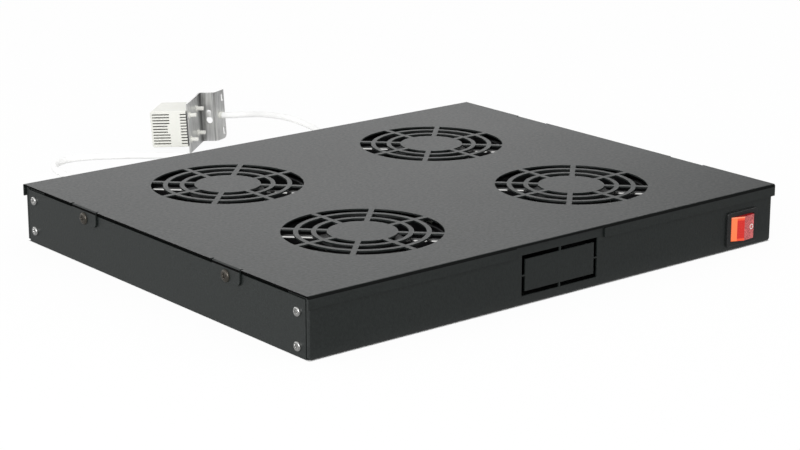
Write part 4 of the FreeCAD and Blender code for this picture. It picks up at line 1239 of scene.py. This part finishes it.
@dataclass
class Studio:
    """Pale floor, soft light and the camera."""

    eye: Vector = field(default_factory=lambda: Vector((-1.02668, -1.25895, 0.47928)))
    ahead: Vector = field(default_factory=lambda: Vector((0.60759, 0.74455, -0.27656)))
    lens: float = 100.473
    roll: float = 0.00125
    floor_half: float = 8.0
    floor_low: float = -0.3 * MM
    fade: tuple[float, float] = (40.0 * MM, 20.0 * MM)
    paper: tuple[float, ...] = (0.82, 0.82, 0.82, 1.0)
    around: float = 0.90
    seen: float = 0.95
    left_gloss: float = 0.47
    front_gloss: float = 0.30
    room_gloss: float = 1.50
    light_side: float = 0.09
    dark_side: float = 0.34
    darkens: tuple[float, float] = (0.8, -0.6)
    low_sky: float = 1.35
    high_sky: float = 0.45
    sky_line: float = 0.5
    boxes: Sequence[SoftBox] = (
        SoftBox("left_box", (-1.9, 0.5, 0.9), (0.0, 0.0, 0.0), 1.0, 3.0),
        SoftBox("fill_box", (-1.32, -0.86, 0.62), (0.03, 0.33, 0.02), 0.8, 13.0),
        SoftBox("right_box", (1.4, -1.6, 0.8), (0.1, -0.1, 0.0), 0.9, 8.0),
    )

    def build(self) -> None:
        """Makes the camera, the floor, the lamps and the world."""
        bpy.context.scene.view_settings.view_transform = "Standard"
        self._camera()
        self._floor()
        self._world()
        for box in self.boxes:
            box.build()

    def _camera(self) -> None:
        """Long lens, low over the tray's front left corner."""
        data = bpy.data.cameras.new("camera")
        data.sensor_width = 36.0
        data.lens = self.lens
        data.clip_start, data.clip_end = 0.05, 60.0
        camera = bpy.data.objects.new("camera", data)
        bpy.context.scene.collection.objects.link(camera)
        camera.location = self.eye
        level = self.ahead.to_track_quat("-Z", "Y")
        camera.rotation_euler = (level @ Quaternion((0.0, 0.0, 1.0), self.roll)).to_euler()
        bpy.context.scene.camera = camera

    def _floor(self) -> None:
        """White paper that keeps the shadow, dim in gloss before the front and clear from below."""
        mix = Recipe("paper")
        low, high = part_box("base_tray")
        x, y, _ = mix.axes()
        under = (abs(x) < high.x) * (abs(y) < high.y)
        side, depth = self.fade
        before = y.ramp(low.y - depth, low.y, 1.0, 0.0) * x.ramp(low.x - side, low.x)
        rays = mix.named("ShaderNodeLightPath")
        mirrored = rays["Is Glossy Ray"]
        gloss = self.left_gloss - before * (self.left_gloss - self.front_gloss)
        shade = mix.node("ShaderNodeBsdfDiffuse", inputs={"Color": self.paper})[0]
        glow, dark = (mix.node("ShaderNodeEmission", inputs={"Strength": level})[0] for level in (1.0, 0.0))
        glow = mix.node("ShaderNodeMixShader", inputs={0: mirrored * (1.0 - gloss), 1: glow, 2: dark})[0]
        looked = rays["Is Camera Ray"].maths("MAXIMUM", rays["Is Transmission Ray"]) * self.seen
        share = looked.maths("MAXIMUM", mirrored) * (1.0 - under)
        both = mix.node("ShaderNodeMixShader", inputs={0: share, 1: shade, 2: glow})[0]
        below = mix.named("ShaderNodeNewGeometry")["Backfacing"]
        clear = mix.node("ShaderNodeBsdfTransparent")[0]
        both = mix.node("ShaderNodeMixShader", inputs={0: below, 1: both, 2: clear})[0]
        mix.node("ShaderNodeOutputMaterial", inputs={"Surface": both})
        half, level = self.floor_half, self.floor_low
        mesh = bpy.data.meshes.new("floor")
        corners = [(-half, -half, level), (half, -half, level), (half, half, level), (-half, half, level)]
        mesh.from_pydata(corners, [], [(0, 1, 2, 3)])
        mesh.materials.append(mix.material)
        floor = bpy.data.objects.new("floor", mesh)
        bpy.context.scene.collection.objects.link(floor)

    def _world(self) -> None:
        """White light all round, full white where it is looked at and dark to the right in gloss."""
        world = bpy.data.worlds.new("white_room")
        bpy.context.scene.world = world
        world.use_nodes = True
        mix = NodeBook(world.node_tree)
        mix.tree.nodes.clear()
        rays = mix.named("ShaderNodeLightPath")
        straight = rays["Is Camera Ray"].maths("MAXIMUM", rays["Is Transmission Ray"])
        towards = mix.named("ShaderNodeTexCoord")["Generated"]
        right, ahead, high = mix.node("ShaderNodeSeparateXYZ", inputs={"Vector": towards})
        east, north = self.darkens
        lit = (right * east + ahead * north).ramp(self.light_side, self.dark_side, 1.0, 0.0)
        mirrored = lit * high.ramp(0.0, self.sky_line, self.low_sky, self.high_sky) * self.room_gloss
        strength = straight * (1.0 - self.around) + rays["Is Glossy Ray"] * (mirrored - self.around) + self.around
        back = mix.node("ShaderNodeBackground", inputs={"Color": (1.0, 1.0, 1.0, 1.0), "Strength": strength})[0]
        mix.node("ShaderNodeOutputWorld", inputs={"Surface": back})


def main() -> None:
    """Builds every sub-assembly around the frame."""
    logging.basicConfig(level=logging.INFO, format="%(name)s: %(message)s")
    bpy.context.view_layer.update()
    Studio().build()
    Lead().build()
    Case().build()
    Fans().build()
    Electrics().build()
    Thermostat().build()


if __name__ == "__main__":
    main()
